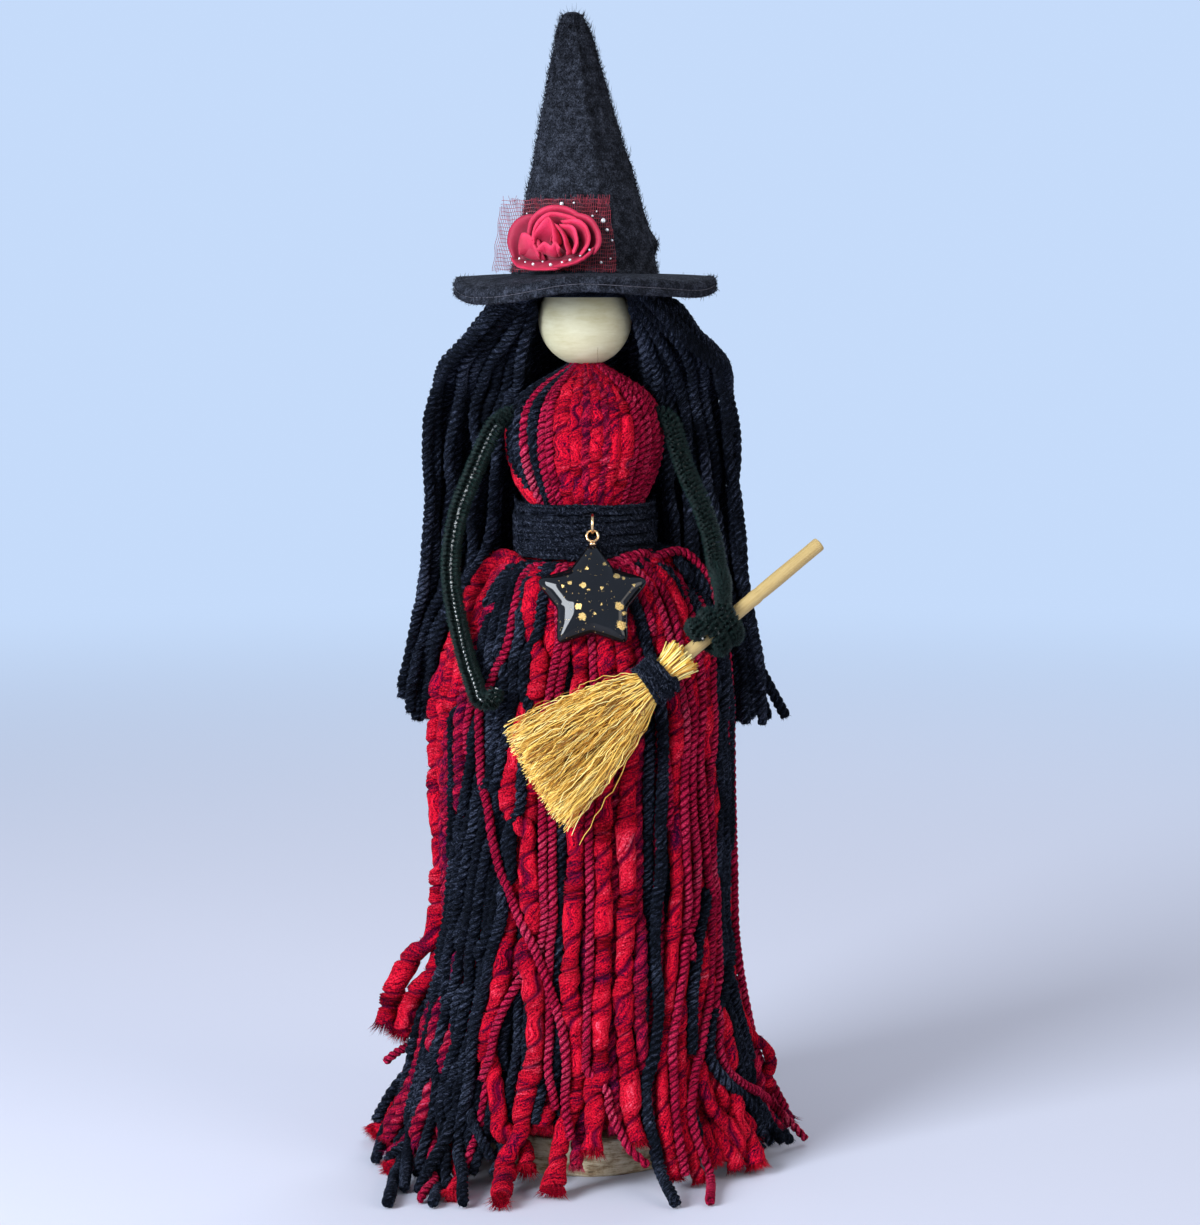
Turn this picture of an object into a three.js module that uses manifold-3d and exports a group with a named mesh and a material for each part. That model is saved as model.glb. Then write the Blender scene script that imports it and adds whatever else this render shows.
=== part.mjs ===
import * as THREE from 'three';
import { mergeVertices } from 'three/addons/utils/BufferGeometryUtils.js';
import Module from 'manifold-3d';

const wasm = await Module();
wasm.setup();

// A standing yarn doll in millimetres. Z is up, the doll faces -Y, the floor is Z = 0
// and the origin is the centre of the underside of the wooden slice.

// Clearances that many pieces share
const touchGap = 0.3;
const softGap = 0.6;
const cutOverrun = 1;

// Wooden slice and centre dowel
const sliceRadius = 31;
const sliceHeight = 10;
const sliceEdgeBevel = 0.8;
const socketDepth = 6;
const dowelRadius = 3;
const dowelFit = 0.3;

// Waist, body and head, stacked from the floor up
const waistHeight = 163.4;
const waistBandHeight = 14.4;
const bundleRadius = 17.6;
const bodiceRadius = 21;
const bodiceHalfHeight = 17.9;
const bodyBallRadius = 15;
const headRadius = 12.5;
const headBoreDepth = 17;
const capThickness = 2;
const capSkirtDrop = 5.7;

// Band round the waist
const bandYarnRadius = 0.5;
const bandPitch = 1.5;
const bandTurns = 7;

// Hat
const hatHeight = 68.2;
const hatBaseRadius = 19.2;
const hatTipRadius = 2.2;
const hatFelt = 2;
const hatTipWall = 3;
const hatLean = 3.4;
const hatLeanPower = 1.4;
const hatPinch = 1.3;
const brimRadius = 35;
const brimFelt = 1.9;
const brimDrop = 2.6;
const brimHoleGap = 0.9;
const brimLift = 4.6;

// Yarn hair
const hairSideRadius = 46;
const hairBackRadius = 36;
const hairRoot = 3;
const hairBottom = 115.4;
const hairRound = 2.2;
const hairBodyGap = 0.9;

// Yarn skirt
const skirtSideRadius = 40.5;
const skirtFrontRadius = 36.5;
const skirtFloorGap = 0.6;
const skirtThickness = 7.5;
const skirtRound = 1.6;
const skirtCoreBore = 8;
const skirtLift = 12;

const dowelBore = dowelRadius + dowelFit;
const skirtTop = waistHeight - touchGap;
const waistTop = waistHeight + waistBandHeight;
const bodiceCentre = waistTop + touchGap + bodiceHalfHeight;
const headCentre = bodiceCentre + bodiceHalfHeight + touchGap + headRadius;
const capRadius = headRadius + touchGap + capThickness;
const brimUnder = headCentre + headRadius - brimLift;
const brimTop = brimUnder + 2 * brimFelt + touchGap;
const hatBase = brimTop + touchGap;

// Materials
const finish = (color, roughness, metalness = 0) =>
  new THREE.MeshStandardMaterial({ color, roughness, metalness });
const blackYarn = finish(0x14141c, 0.95);
const redYarn = finish(0xc4102c, 0.9);
const crimsonYarn = finish(0x7a1030, 0.92);
const blackFelt = finish(0x17181d, 0.97);
const paleWood = finish(0xe3cf9f, 0.6);
const birch = finish(0xcbb48c, 0.8);
const bambooWood = finish(0xdcc07c, 0.55);
const bristleFibre = finish(0xd3a24c, 0.75);
const chenille = finish(0x0f2a24, 0.95);
const coreWire = finish(0xb9bcb8, 0.35, 1);
const goldMetal = finish(0xd0a050, 0.3, 1);
const resin = finish(0x0b0b0d, 0.12);
const roseFoam = finish(0xc22248, 0.7);
const netThread = finish(0x8a1f35, 0.8);

const doll = new THREE.Group();
doll.name = 'wool_witch_doll';

function piece(name, geometry, material, parent = doll) {
  const mesh = new THREE.Mesh(geometry, material);
  mesh.name = name;
  parent.add(mesh);
  return mesh;
}

// Geometry helpers
const polar = (radius, turn, height) =>
  new THREE.Vector3(radius * Math.sin(turn), -radius * Math.cos(turn), height);
const range = (count) => Array.from({ length: count }, (_, i) => i);
const mix = THREE.MathUtils.lerp;
const degrees = THREE.MathUtils.degToRad;

// A repeatable number from 0 to 1 for each whole number
function scatter(index, salt) {
  const wave = Math.sin(index * 127.1 + salt * 311.7) * 43758.5453;
  return wave - Math.floor(wave);
}

// Value of a table of [place, value] rows at one place, with straight lines between rows
function along(rows, place) {
  const last = rows.length - 1;
  const upper = rows.findIndex((row) => row[0] >= place);
  if (upper === 0) return rows[0][1];
  if (upper < 0) return rows[last][1];
  const [from, to] = [rows[upper - 1], rows[upper]];
  return mix(from[1], to[1], (place - from[0]) / (to[0] - from[0]));
}

// One closed body from points and faces, with its faces pointing out
function closedBody(points, faces) {
  const volume = faces.reduce((sum, [a, b, c]) => {
    const cross = new THREE.Vector3().crossVectors(points[b], points[c]);
    return sum + points[a].dot(cross);
  }, 0);
  const facing = volume > 0 ? faces : faces.map(([a, b, c]) => [a, c, b]);
  const geometry = new THREE.BufferGeometry();
  const positions = points.flatMap((p) => p.toArray());
  geometry.setAttribute('position', new THREE.Float32BufferAttribute(positions, 3));
  geometry.setIndex(facing.flat());
  geometry.computeVertexNormals();
  return geometry;
}

const quad = (a, b, c, d) => [[a, b, c], [a, c, d]];

// A body between an outer and an inner grid of points. A wrapped grid meets itself sideways.
function shell(outer, inner, wrapped = false) {
  const rows = outer.length;
  const columns = outer[0].length;
  const shift = rows * columns;
  const points = [...outer.flat(), ...inner.flat()];
  const at = (row, column) => row * columns + (column % columns);
  const faces = [];
  const spans = wrapped ? columns : columns - 1;
  for (let row = 0; row < rows - 1; row++) {
    for (let column = 0; column < spans; column++) {
      const corners = [
        at(row, column), at(row, column + 1), at(row + 1, column + 1), at(row + 1, column),
      ];
      faces.push(...quad(...corners));
      faces.push(...quad(...corners.map((corner) => corner + shift).reverse()));
    }
  }
  for (let column = 0; column < spans; column++) {
    const [a, b] = [at(0, column), at(0, column + 1)];
    faces.push(...quad(b, a, a + shift, b + shift));
    const [c, d] = [at(rows - 1, column), at(rows - 1, column + 1)];
    faces.push(...quad(c, d, d + shift, c + shift));
  }
  if (!wrapped) {
    for (let row = 0; row < rows - 1; row++) {
      const [a, b] = [at(row, 0), at(row + 1, 0)];
      faces.push(...quad(a, b, b + shift, a + shift));
      const [c, d] = [at(row, columns - 1), at(row + 1, columns - 1)];
      faces.push(...quad(c, c + shift, d + shift, d));
    }
  }
  return closedBody(points, faces);
}

// A body through rings of points, closed at both ends by a fan
function loft(rings) {
  const size = rings[0].length;
  const points = rings.flat();
  const faces = [];
  for (let ring = 0; ring < rings.length - 1; ring++) {
    for (const side of range(size)) {
      const [a, b] = [ring * size + side, ring * size + ((side + 1) % size)];
      faces.push(...quad(a, b, b + size, a + size));
    }
  }
  for (const [ring, reversed] of [[0, true], [rings.length - 1, false]]) {
    const centre = rings[ring].reduce((sum, p) => sum.add(p), new THREE.Vector3());
    const hub = points.push(centre.divideScalar(size)) - 1;
    for (const side of range(size)) {
      const [a, b] = [ring * size + side, ring * size + ((side + 1) % size)];
      faces.push(reversed ? [b, a, hub] : [a, b, hub]);
    }
  }
  return closedBody(points, faces);
}

// Rings of points square to a route, carried along it without twist
const steepShare = 0.9;

function ringsAlong(route, radiusAt, sides) {
  const tangents = route.map((p, i) =>
    new THREE.Vector3()
      .subVectors(route[Math.min(i + 1, route.length - 1)], route[Math.max(i - 1, 0)])
      .normalize());
  const steep = Math.abs(tangents[0].z) > steepShare;
  const seed = steep ? new THREE.Vector3(1, 0, 0) : new THREE.Vector3(0, 0, 1);
  const normal = new THREE.Vector3().crossVectors(tangents[0], seed).normalize();
  return route.map((p, i) => {
    normal.addScaledVector(tangents[i], -normal.dot(tangents[i])).normalize();
    const binormal = new THREE.Vector3().crossVectors(tangents[i], normal);
    const radius = radiusAt(i / (route.length - 1));
    return range(sides).map((side) => {
      const angle = (side / sides) * 2 * Math.PI;
      return p.clone()
        .addScaledVector(normal, radius * Math.cos(angle))
        .addScaledVector(binormal, radius * Math.sin(angle));
    });
  });
}

// A solid of revolution round Z from a closed profile of [radius, height] rows
function turned(profile, segments) {
  const rows = profile.map(([radius, height]) => new THREE.Vector2(radius, height));
  const geometry = new THREE.LatheGeometry([...rows, rows[0].clone()], segments);
  geometry.rotateX(Math.PI / 2);
  return closedBodyOf(geometry);
}

// The same surface with shared corners merged, and its faces pointing out
function closedBodyOf(geometry) {
  const bare = geometry.clone();
  bare.deleteAttribute('normal');
  bare.deleteAttribute('uv');
  const merged = mergeVertices(bare);
  const place = merged.getAttribute('position');
  const points = range(place.count).map((i) => new THREE.Vector3().fromBufferAttribute(place, i));
  const index = merged.index.array;
  const faces = range(index.length / 3)
    .map((i) => [index[3 * i], index[3 * i + 1], index[3 * i + 2]])
    .filter(([a, b, c]) => a !== b && b !== c && a !== c);
  return closedBody(points, faces);
}

const toSolid = (geometry) => {
  const merged = closedBodyOf(geometry);
  return new wasm.Manifold(new wasm.Mesh({
    numProp: 3,
    vertProperties: merged.getAttribute('position').array,
    triVerts: new Uint32Array(merged.index.array),
  }));
};

const fromSolid = (solid) => {
  const { vertProperties, triVerts } = solid.getMesh();
  const geometry = new THREE.BufferGeometry();
  geometry.setAttribute('position', new THREE.BufferAttribute(vertProperties, 3));
  geometry.setIndex(new THREE.BufferAttribute(triVerts, 1));
  geometry.computeVertexNormals();
  return geometry;
};

// An arc of a sphere as profile rows, by angle above its middle
const arcRows = (radius, centre, from, to, steps) =>
  range(steps + 1).map((i) => {
    const angle = mix(from, to, i / steps);
    return [radius * Math.cos(angle), centre + radius * Math.sin(angle)];
  });

// A radius that passes from its side value to its front or back value round the doll
const around = (side, front, turn) => front + (side - front) * Math.sin(turn) ** 2;

// Wooden slice with a blind socket for the dowel
const sliceSides = 26;
const dowelSides = 10;

function addBase() {
  const rim = sliceRadius - sliceEdgeBevel;
  piece('wood_slice', turned([
    [0, 0], [rim, 0], [sliceRadius, sliceEdgeBevel],
    [sliceRadius, sliceHeight - sliceEdgeBevel], [rim, sliceHeight],
    [dowelBore, sliceHeight], [dowelBore, sliceHeight - socketDepth],
    [0, sliceHeight - socketDepth],
  ], sliceSides), birch);
  const foot = sliceHeight - socketDepth + touchGap;
  const top = headCentre - headRadius + headBoreDepth - touchGap;
  piece('centre_dowel', turned(
    [[0, foot], [dowelRadius, foot], [dowelRadius, top], [0, top]],
    dowelSides), paleWood);
}

// Head bead with its bore, and the yarn crown glued over it
const headSides = 18;
const capSides = 14;

function addHead() {
  const boreAngle = Math.asin(dowelBore / headRadius);
  const boreTop = headCentre - headRadius + headBoreDepth;
  piece('head_bead', turned([
    ...arcRows(headRadius, headCentre, boreAngle - Math.PI / 2, Math.PI / 2, 9),
    [0, boreTop], [dowelBore, boreTop],
  ], headSides), paleWood);
  const inner = headRadius + touchGap;
  const edge = Math.asin(capSkirtDrop / inner);
  piece('hair_cap', turned([
    ...arcRows(capRadius, headCentre, Math.asin(capSkirtDrop / capRadius), Math.PI / 2, 4),
    ...arcRows(inner, headCentre, edge, Math.PI / 2, 4).reverse(),
  ], capSides), blackYarn);
}

// Ball under the bodice, with its bore
function addBodyBall() {
  const bore = Math.acos(dowelBore / bodyBallRadius);
  piece('body_ball', turned(arcRows(bodyBallRadius, bodiceCentre, -bore, bore, 6), capSides), paleWood);
}

// Bodice yarn over the ball, in groups of ribbed strands
const bodiceEdges = [-96, -38, -12, 38, 96];
const bodiceGroups = [
  { name: 'bodice_black_left', ribs: 3, yarn: blackYarn },
  { name: 'bodice_crimson_left', ribs: 2, yarn: crimsonYarn },
  { name: 'bodice_red_front', ribs: 3, yarn: redYarn },
  { name: 'bodice_crimson_right', ribs: 4, yarn: crimsonYarn },
  { name: 'bodice_black_back', ribs: 6, yarn: blackYarn },
];
const bodiceRib = 0.7;
const bodiceRows = 8;
const sleeveRadius = 3;
const sleeveLength = 6.6;
const shoulderRise = 5;
const shoulderForward = 4;

function addBodice() {
  const inner = bodyBallRadius + touchGap;
  const lowest = Math.acos(dowelBore / inner);
  const edges = [...bodiceEdges, bodiceEdges[0] + 360];
  bodiceGroups.forEach(({ name, ribs, yarn }, group) => {
    const [from, to] = [edges[group], edges[group + 1]];
    const columns = 2 * ribs + 1;
    const grid = (outside) => range(bodiceRows + 1).map((row) => {
      const lift = mix(-lowest, lowest, row / bodiceRows);
      return range(columns).map((column) => {
        const share = column / (columns - 1);
        const reach = Math.max(dowelBore, (outside ? bodiceRadius : inner) * Math.cos(lift));
        const margin = Math.asin(touchGap / 2 / reach);
        const turn = mix(degrees(from) + margin, degrees(to) - margin, share);
        const groove = outside && column % 2 === 0 ? bodiceRib * Math.cos(lift) : 0;
        const tall = outside ? bodiceHalfHeight : inner;
        return polar(reach - groove, turn, bodiceCentre + tall * Math.sin(lift));
      });
    });
    const strands = shell(grid(true), grid(false));
    piece(name, withSleevePocket(strands), yarn);
  });
}

// Room for the arms' inner ends, which run sideways into the bodice
const pocketSides = 12;

function withSleevePocket(geometry) {
  const pocket = new THREE.CylinderGeometry(
    sleeveRadius + softGap, sleeveRadius + softGap, 2 * (bodiceRadius + cutOverrun), pocketSides);
  pocket.rotateZ(Math.PI / 2);
  pocket.translate(0, -shoulderForward, bodiceCentre + shoulderRise);
  const inside = new THREE.BoxGeometry(
    2 * (bodiceRadius - sleeveLength), 2 * bodiceRadius, 2 * bodiceHalfHeight);
  inside.translate(0, 0, bodiceCentre);
  const tool = toSolid(pocket).subtract(toSolid(inside));
  return fromSolid(toSolid(geometry).subtract(tool));
}

// A tube wound in loops along a route given by turns, with straight ends
const loopSteps = 24;
const loopSides = 6;

function winding(name, centreAt, from, to, radius, material) {
  const steps = Math.round((to - from) * loopSteps);
  const loops = range(steps + 1).map((i) => centreAt(mix(from, to, i / steps)));
  const lead = (end, next) =>
    end.clone().add(new THREE.Vector3().subVectors(end, next).setLength(2 * radius));
  const route = [lead(loops[0], loops[1]), ...loops, lead(loops[steps], loops[steps - 1])];
  let least = Infinity;
  loops.forEach((p, i) => {
    for (const q of loops.slice(i + loopSteps / 2)) least = Math.min(least, p.distanceTo(q));
  });
  console.log(`${name} least gap to itself ${(least - 2 * radius).toFixed(2)} mm`);
  return piece(name, loft(ringsAlong(route, () => radius, loopSides)), material);
}

// Jump ring place on the band, and the heights of the band's turns where the ring goes through
const ringWireRadius = 0.4;
const ringRadius = 2.6;
const ringSide = 2;
const ringDrop = 4.6;
const ringStandOff = 0.6;
const bandParting = 1.3;
const ringPocketGap = 0.5;
const bundleSides = 28;
const bandRadius = bundleRadius + touchGap + bandYarnRadius;
const ringCentre = new THREE.Vector3(ringSide, -bandRadius - ringStandOff, waistTop - ringDrop);

function addWaist() {
  const bundle = turned([
    [dowelBore, waistHeight], [bundleRadius, waistHeight],
    [bundleRadius, waistTop], [dowelBore, waistTop],
  ], bundleSides);
  const reach = ringRadius + ringWireRadius + ringPocketGap;
  const pocket = new THREE.BoxGeometry(2 * (ringWireRadius + ringPocketGap), 2 * reach, 2 * reach);
  pocket.translate(...ringCentre);
  piece('waist_bundle', fromSolid(toSolid(bundle).subtract(toSolid(pocket))), blackYarn);

  const crossing = Math.sqrt(ringRadius ** 2 - ringStandOff ** 2) + bandParting;
  const below = range(bandTurns - 3).map((i) => -crossing - i * bandPitch);
  const fronts = [crossing, bandPitch / 2, -bandPitch / 2, ...below];
  const rows = [
    [0, crossing + bandPitch / 2],
    ...fronts.map((height, i) => [i + 0.5, height]),
    [bandTurns, below[below.length - 1] - bandPitch / 2],
  ];
  const centreAt = (turns) =>
    polar(bandRadius, (turns - 0.5) * 2 * Math.PI, ringCentre.z + along(rows, turns));
  winding('waist_band', centreAt, 0, bandTurns, bandYarnRadius, blackYarn);
}

// Felt hat: a hollow cone that leans and is pinched near its base, over two brim layers
const hatTaperShares = [[0, 1], [0.1, 0.93], [0.33, 0.76], [0.52, 0.585], [0.73, 0.395], [0.93, 0.22]];
const pinchHeightShare = 0.11;
const pinchSpreadShare = 0.08;
const hatTop = hatBase + hatHeight;
const hatSides = 20;

function hatRadius(height) {
  const share = (height - hatBase) / hatHeight;
  return hatBaseRadius * along([...hatTaperShares, [1, hatTipRadius / hatBaseRadius]], share);
}

function hatPlace(point) {
  const share = THREE.MathUtils.clamp((point.z - hatBase) / hatHeight, 0, 1);
  const nip = hatPinch * Math.exp(-(((share - pinchHeightShare) / pinchSpreadShare) ** 2));
  const rightward = Math.max(0, point.x / hatBaseRadius) ** 2;
  point.x += nip * rightward - hatLean * share ** hatLeanPower;
  return point;
}

function addHat() {
  const outer = hatTaperShares.map(([share]) => {
    const height = hatBase + share * hatHeight;
    return [hatRadius(height), height];
  });
  const inner = outer.map(([radius, height]) => [radius - hatFelt, height]);
  const cone = turned([
    ...outer, [hatTipRadius, hatTop], [0, hatTop],
    [0, hatTop - hatTipWall], ...inner.reverse(),
  ], hatSides);
  const place = cone.getAttribute('position');
  for (const i of range(place.count)) {
    place.setXYZ(i, ...hatPlace(new THREE.Vector3().fromBufferAttribute(place, i)));
  }
  piece('hat_cone', cone, blackFelt);
  const layer = (name, underside) => {
    const hole = capRadius - brimHoleGap;
    const grid = (lift) => range(3).map((row) => range(hatSides).map((column) => {
      const radius = mix(hole, brimRadius, row / 2);
      const share = column / hatSides;
      return polar(radius, share * 2 * Math.PI, underside + lift - brimSag(radius, share));
    }));
    piece(name, shell(grid(brimFelt), grid(0), true), blackFelt);
  };
  layer('hat_brim_under', brimUnder);
  layer('hat_brim_top', brimUnder + brimFelt + touchGap);
}

// How far the brim hangs down, most at its front left
const brimSagTurn = -45;
const brimSagShares = [0.25, 0.75];

function brimSag(radius, share) {
  const reach = Math.max(0, (radius - capRadius) / (brimRadius - capRadius));
  const facing = Math.max(0, Math.cos(share * 2 * Math.PI - degrees(brimSagTurn)));
  return brimDrop * reach ** 2 * (brimSagShares[0] + brimSagShares[1] * facing ** 2);
}

// Skirt outline as rows of height share, side share and front share
const skirtShares = [
  [0, 1.407, 1.315], [0.062, 1.284, 1.233], [0.168, 1.16, 1.123], [0.299, 1.037, 1.04],
  [0.417, 0.975, 1], [0.622, 0.995, 0.973], [0.753, 1, 0.904], [0.834, 0.963, 0.808],
  [0.877, 0.9, 0.74], [0.921, 0.79, 0.685], [0.9645, 0.654, 0.616], [1, 0.474, 0.526],
];
const skirtFlareShare = 0.299;

function skirtRadius(height, turn, flare = 0) {
  const share = height / skirtTop;
  const side = skirtSideRadius * along(skirtShares.map((row) => [row[0], row[1]]), share);
  const front = skirtFrontRadius * along(skirtShares.map((row) => [row[0], row[2]]), share);
  const spread = Math.max(0, (skirtFlareShare - share) / skirtFlareShare);
  return around(side, front, turn) * (1 + flare * spread ** 2);
}

// A lock of strands: a wedge round the doll with a rounded back and a tapered end
const lockShares = [-1, -0.45, 0.45, 1];

function lock(name, yarn, { heights, turnsAt, outerAt, innerAt, round, tipShare }) {
  const grid = (radiusAt, depth) => heights.map((height) => {
    const [from, to] = turnsAt(height);
    const margin = touchGap / 2 / innerAt(height, (from + to) / 2);
    return lockShares.map((share) => {
      const turn = mix(from + margin, to - margin, (share + 1) / 2);
      return polar(radiusAt(height, turn) - depth * share ** 2, turn, height);
    });
  });
  const outer = grid(outerAt, round);
  const inner = grid(innerAt, 0);
  const end = [...outer[heights.length - 1], ...inner[heights.length - 1]];
  const centre = end.reduce((sum, p) => sum.add(p), new THREE.Vector3()).divideScalar(end.length);
  end.forEach((p) => p.lerp(centre, 1 - tipShare));
  piece(name, shell(outer, inner), yarn);
}

// Heights of a lock's rows: the outline's own heights, then two rows for the tapered end
const taperClearShare = 1.5;

const lockHeights = (outline, end, taper) =>
  [...outline.filter((height) => height > end + taperClearShare * taper), end + taper, end];

const skirtLocks = [
  { yarn: redYarn, flare: 0, lift: 1 }, { yarn: crimsonYarn, flare: 0, lift: 0 },
  { yarn: redYarn, flare: 0, lift: 0.04 }, { yarn: blackYarn, flare: 0.05, lift: 0 },
  { yarn: crimsonYarn, flare: 0.12, lift: 0.1 }, { yarn: blackYarn, flare: 0.08, lift: 0 },
  { yarn: redYarn, flare: 0.03, lift: 0.07 }, { yarn: blackYarn, flare: 0.06, lift: 0 },
  { yarn: crimsonYarn, flare: 0.04, lift: 0.03 }, { yarn: redYarn, flare: 0.08, lift: 0 },
  { yarn: redYarn, flare: 0.12, lift: 0.17 }, { yarn: blackYarn, flare: 0.08, lift: 0.03 },
  { yarn: blackYarn, flare: 0.17, lift: 0 }, { yarn: crimsonYarn, flare: 0.1, lift: 0.05 },
];
const skirtTaper = 5;
const skirtCoreRadius = 30;
const skirtCoreSides = 14;
const skirtTipShare = 0.6;

function addSkirt() {
  const outline = skirtShares.map((row) => row[0] * skirtTop).reverse();
  const width = (2 * Math.PI) / skirtLocks.length;
  skirtLocks.forEach(({ yarn, flare, lift }, i) => {
    const outerAt = (height, turn) => skirtRadius(height, turn, flare);
    lock(`skirt_lock_${String(i + 1).padStart(2, '0')}`, yarn, {
      heights: lockHeights(outline, skirtFloorGap + lift * skirtLift, skirtTaper),
      turnsAt: () => [(i - 0.5) * width, (i + 0.5) * width],
      outerAt,
      innerAt: (height, turn) => outerAt(height, turn) - skirtThickness,
      round: skirtRound,
      tipShare: skirtTipShare,
    });
  });

  const floor = sliceHeight + touchGap;
  const heights = [...outline.filter((height) => height > 2 * floor), floor];
  const grid = (outside) => heights.map((height) => range(skirtCoreSides).map((column) => {
    const turn = (column / skirtCoreSides) * 2 * Math.PI;
    const bore = mix(dowelBore, skirtCoreBore, 1 - height / skirtTop);
    const reach = skirtRadius(height, turn) - skirtThickness - softGap;
    return polar(outside ? Math.min(reach, skirtCoreRadius) : bore, turn, height);
  }));
  piece('skirt_core', shell(grid(true), grid(false), true), crimsonYarn);
}

// Hair outline as rows of height share, side share and back share
const hairShares = [
  [0, 1.09, 1.14], [0.068, 1.08, 1.11], [0.177, 1.06, 1.03], [0.296, 1.035, 0.986],
  [0.422, 1.004, 0.97], [0.532, 0.978, 0.96], [0.65, 0.97, 0.93], [0.726, 0.957, 0.89],
  [0.785, 0.913, 0.83], [0.853, 0.826, 0.75], [0.912, 0.674, 0.67], [0.963, 0.565, 0.58],
  [1, 0.39, 0.5],
];
const hairFrontRight = [[0.77, 97], [0.8, 90], [0.853, 72], [0.912, 58], [1, 50]];
const hairFrontLeft = [[0.77, 97], [0.8, 91], [0.853, 77], [0.912, 70], [1, 63]];
const hairEndShares = [0.01, 0.06, 0, 0.05, 0.02];
const hairThickness = 6;
const hairTaper = 8;
const hairTipShare = 0.5;
const hairTop = brimUnder - touchGap;
const hairLength = hairTop - hairBottom;

// The bodice's rounded top as rows of height share, radius share and gaps left clear of it
const bodiceTopShares = [[0.5, 0.866, 1.5], [0.75, 0.661, 2]];

// The body under the hair as rows of height and radius
const hairInnerRows = [
  [waistHeight, bodiceRadius + hairRoot], [waistTop, bodiceRadius + hairRound],
  [bodiceCentre, bodiceRadius + hairBodyGap],
  ...bodiceTopShares.map(([up, out, gaps]) => [
    bodiceCentre + up * bodiceHalfHeight, out * bodiceRadius + gaps * hairBodyGap,
  ]),
  [headCentre, headRadius + hairBodyGap], [hairTop, capRadius + touchGap],
];

function addHair() {
  const outline = hairShares.map((row) => hairBottom + row[0] * hairLength).reverse();
  const innerAt = (height, turn) => Math.max(
    along(hairInnerRows, height),
    height < skirtTop ? skirtRadius(height, turn) + hairBodyGap : 0);
  const outerAt = (height, turn) => {
    const share = (height - hairBottom) / hairLength;
    const side = hairSideRadius * along(hairShares.map((row) => [row[0], row[1]]), share);
    const back = hairBackRadius * along(hairShares.map((row) => [row[0], row[2]]), share);
    const thickness = height < hairTop - touchGap ? hairThickness : hairRoot;
    const least = innerAt(height, turn) + thickness;
    return Math.max(around(side, back, turn), least);
  };
  for (const [label, way, front] of [['right', 1, hairFrontRight], ['left', -1, hairFrontLeft]]) {
    hairEndShares.forEach((endShare, i) => {
      const turnsAt = (height) => {
        const start = degrees(along(front, (height - hairBottom) / hairLength));
        const edges = [i, i + 1].map((edge) => way * mix(start, Math.PI, edge / hairEndShares.length));
        return edges.sort((a, b) => a - b);
      };
      lock(`hair_${label}_${i + 1}`, blackYarn, {
        heights: lockHeights(outline, hairBottom + endShare * hairLength, hairTaper),
        turnsAt,
        outerAt,
        innerAt,
        round: hairRound,
        tipShare: hairTipShare,
      });
    });
  }
}

// Net ribbon: its left end runs straight off the hat, the rest follows the cone
const netHeight = 17;
const netTail = 15;
const netWrap = 20;
const netTurn = -35;
const netThreadWidth = 0.5;
const netThickness = 0.4;
const netStandOff = 0.9;
const netLift = 0.8;
const netGaps = [10, 5];

function netPoint(across, up, depth) {
  const height = hatBase + netLift + up;
  const turn = degrees(netTurn) + Math.max(0, across - netTail) / hatBaseRadius;
  const point = polar(hatRadius(height) + netStandOff + depth, turn, height);
  const tail = Math.max(0, netTail - across);
  point.x -= tail * Math.cos(turn);
  point.y -= tail * Math.sin(turn);
  return hatPlace(point);
}

function addNet() {
  const edges = (gaps, length) => range(gaps + 1).flatMap((i) => {
    const middle = netThreadWidth / 2 + (i / gaps) * (length - netThreadWidth);
    return [middle - netThreadWidth / 2, middle + netThreadWidth / 2];
  });
  const across = edges(netGaps[0], netTail + netWrap);
  const up = edges(netGaps[1], netHeight);
  const solidAt = (i, j) =>
    i >= 0 && j >= 0 && i < across.length - 1 && j < up.length - 1 && !(i % 2 && j % 2);
  const points = [];
  for (const depth of [netThickness / 2, -netThickness / 2]) {
    for (const a of across) for (const b of up) points.push(netPoint(a, b, depth));
  }
  const at = (i, j, back) => back * across.length * up.length + i * up.length + j;
  const faces = [];
  const wall = (i, j, k, l) =>
    faces.push(...quad(at(i, j, 0), at(k, l, 0), at(k, l, 1), at(i, j, 1)));
  for (const i of range(across.length - 1)) {
    for (const j of range(up.length - 1)) {
      if (!solidAt(i, j)) continue;
      faces.push(...quad(at(i, j, 0), at(i, j + 1, 0), at(i + 1, j + 1, 0), at(i + 1, j, 0)));
      faces.push(...quad(at(i, j, 1), at(i + 1, j, 1), at(i + 1, j + 1, 1), at(i, j + 1, 1)));
      if (!solidAt(i - 1, j)) wall(i, j + 1, i, j);
      if (!solidAt(i + 1, j)) wall(i + 1, j, i + 1, j + 1);
      if (!solidAt(i, j - 1)) wall(i, j, i + 1, j);
      if (!solidAt(i, j + 1)) wall(i + 1, j + 1, i, j + 1);
    }
  }
  piece('net_ribbon', closedBody(points, faces), netThread);
}

// Foam rose on the net: a rolled bud, two inner petals and three outer petals
const roseHalfWidth = 12.4;
const roseDepth = 6;
const roseFoamThickness = 0.8;
const petalInShare = 0.8;
const petalUpShare = 0.6;
const roseLift = 9.2;
const roseTurn = -22;
const roseTilt = 11;
const roseSquashShare = 0.72;
const budTurns = 1.6;
const budGrowthShare = 0.2;
const budProfile = [[0.08, 0.04], [0.096, 1]];
const budSteps = 16;
const petalSteps = 5;
const petalRings = [
  { count: 2, first: 30, profile: [[0.36, 0.02], [0.38, 0.5], [0.42, 0.9]] },
  { count: 3, first: -75, profile: [[0.48, 0.05], [0.64, 0.3], [0.86, 0.56], [1, 0.62]] },
];

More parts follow.
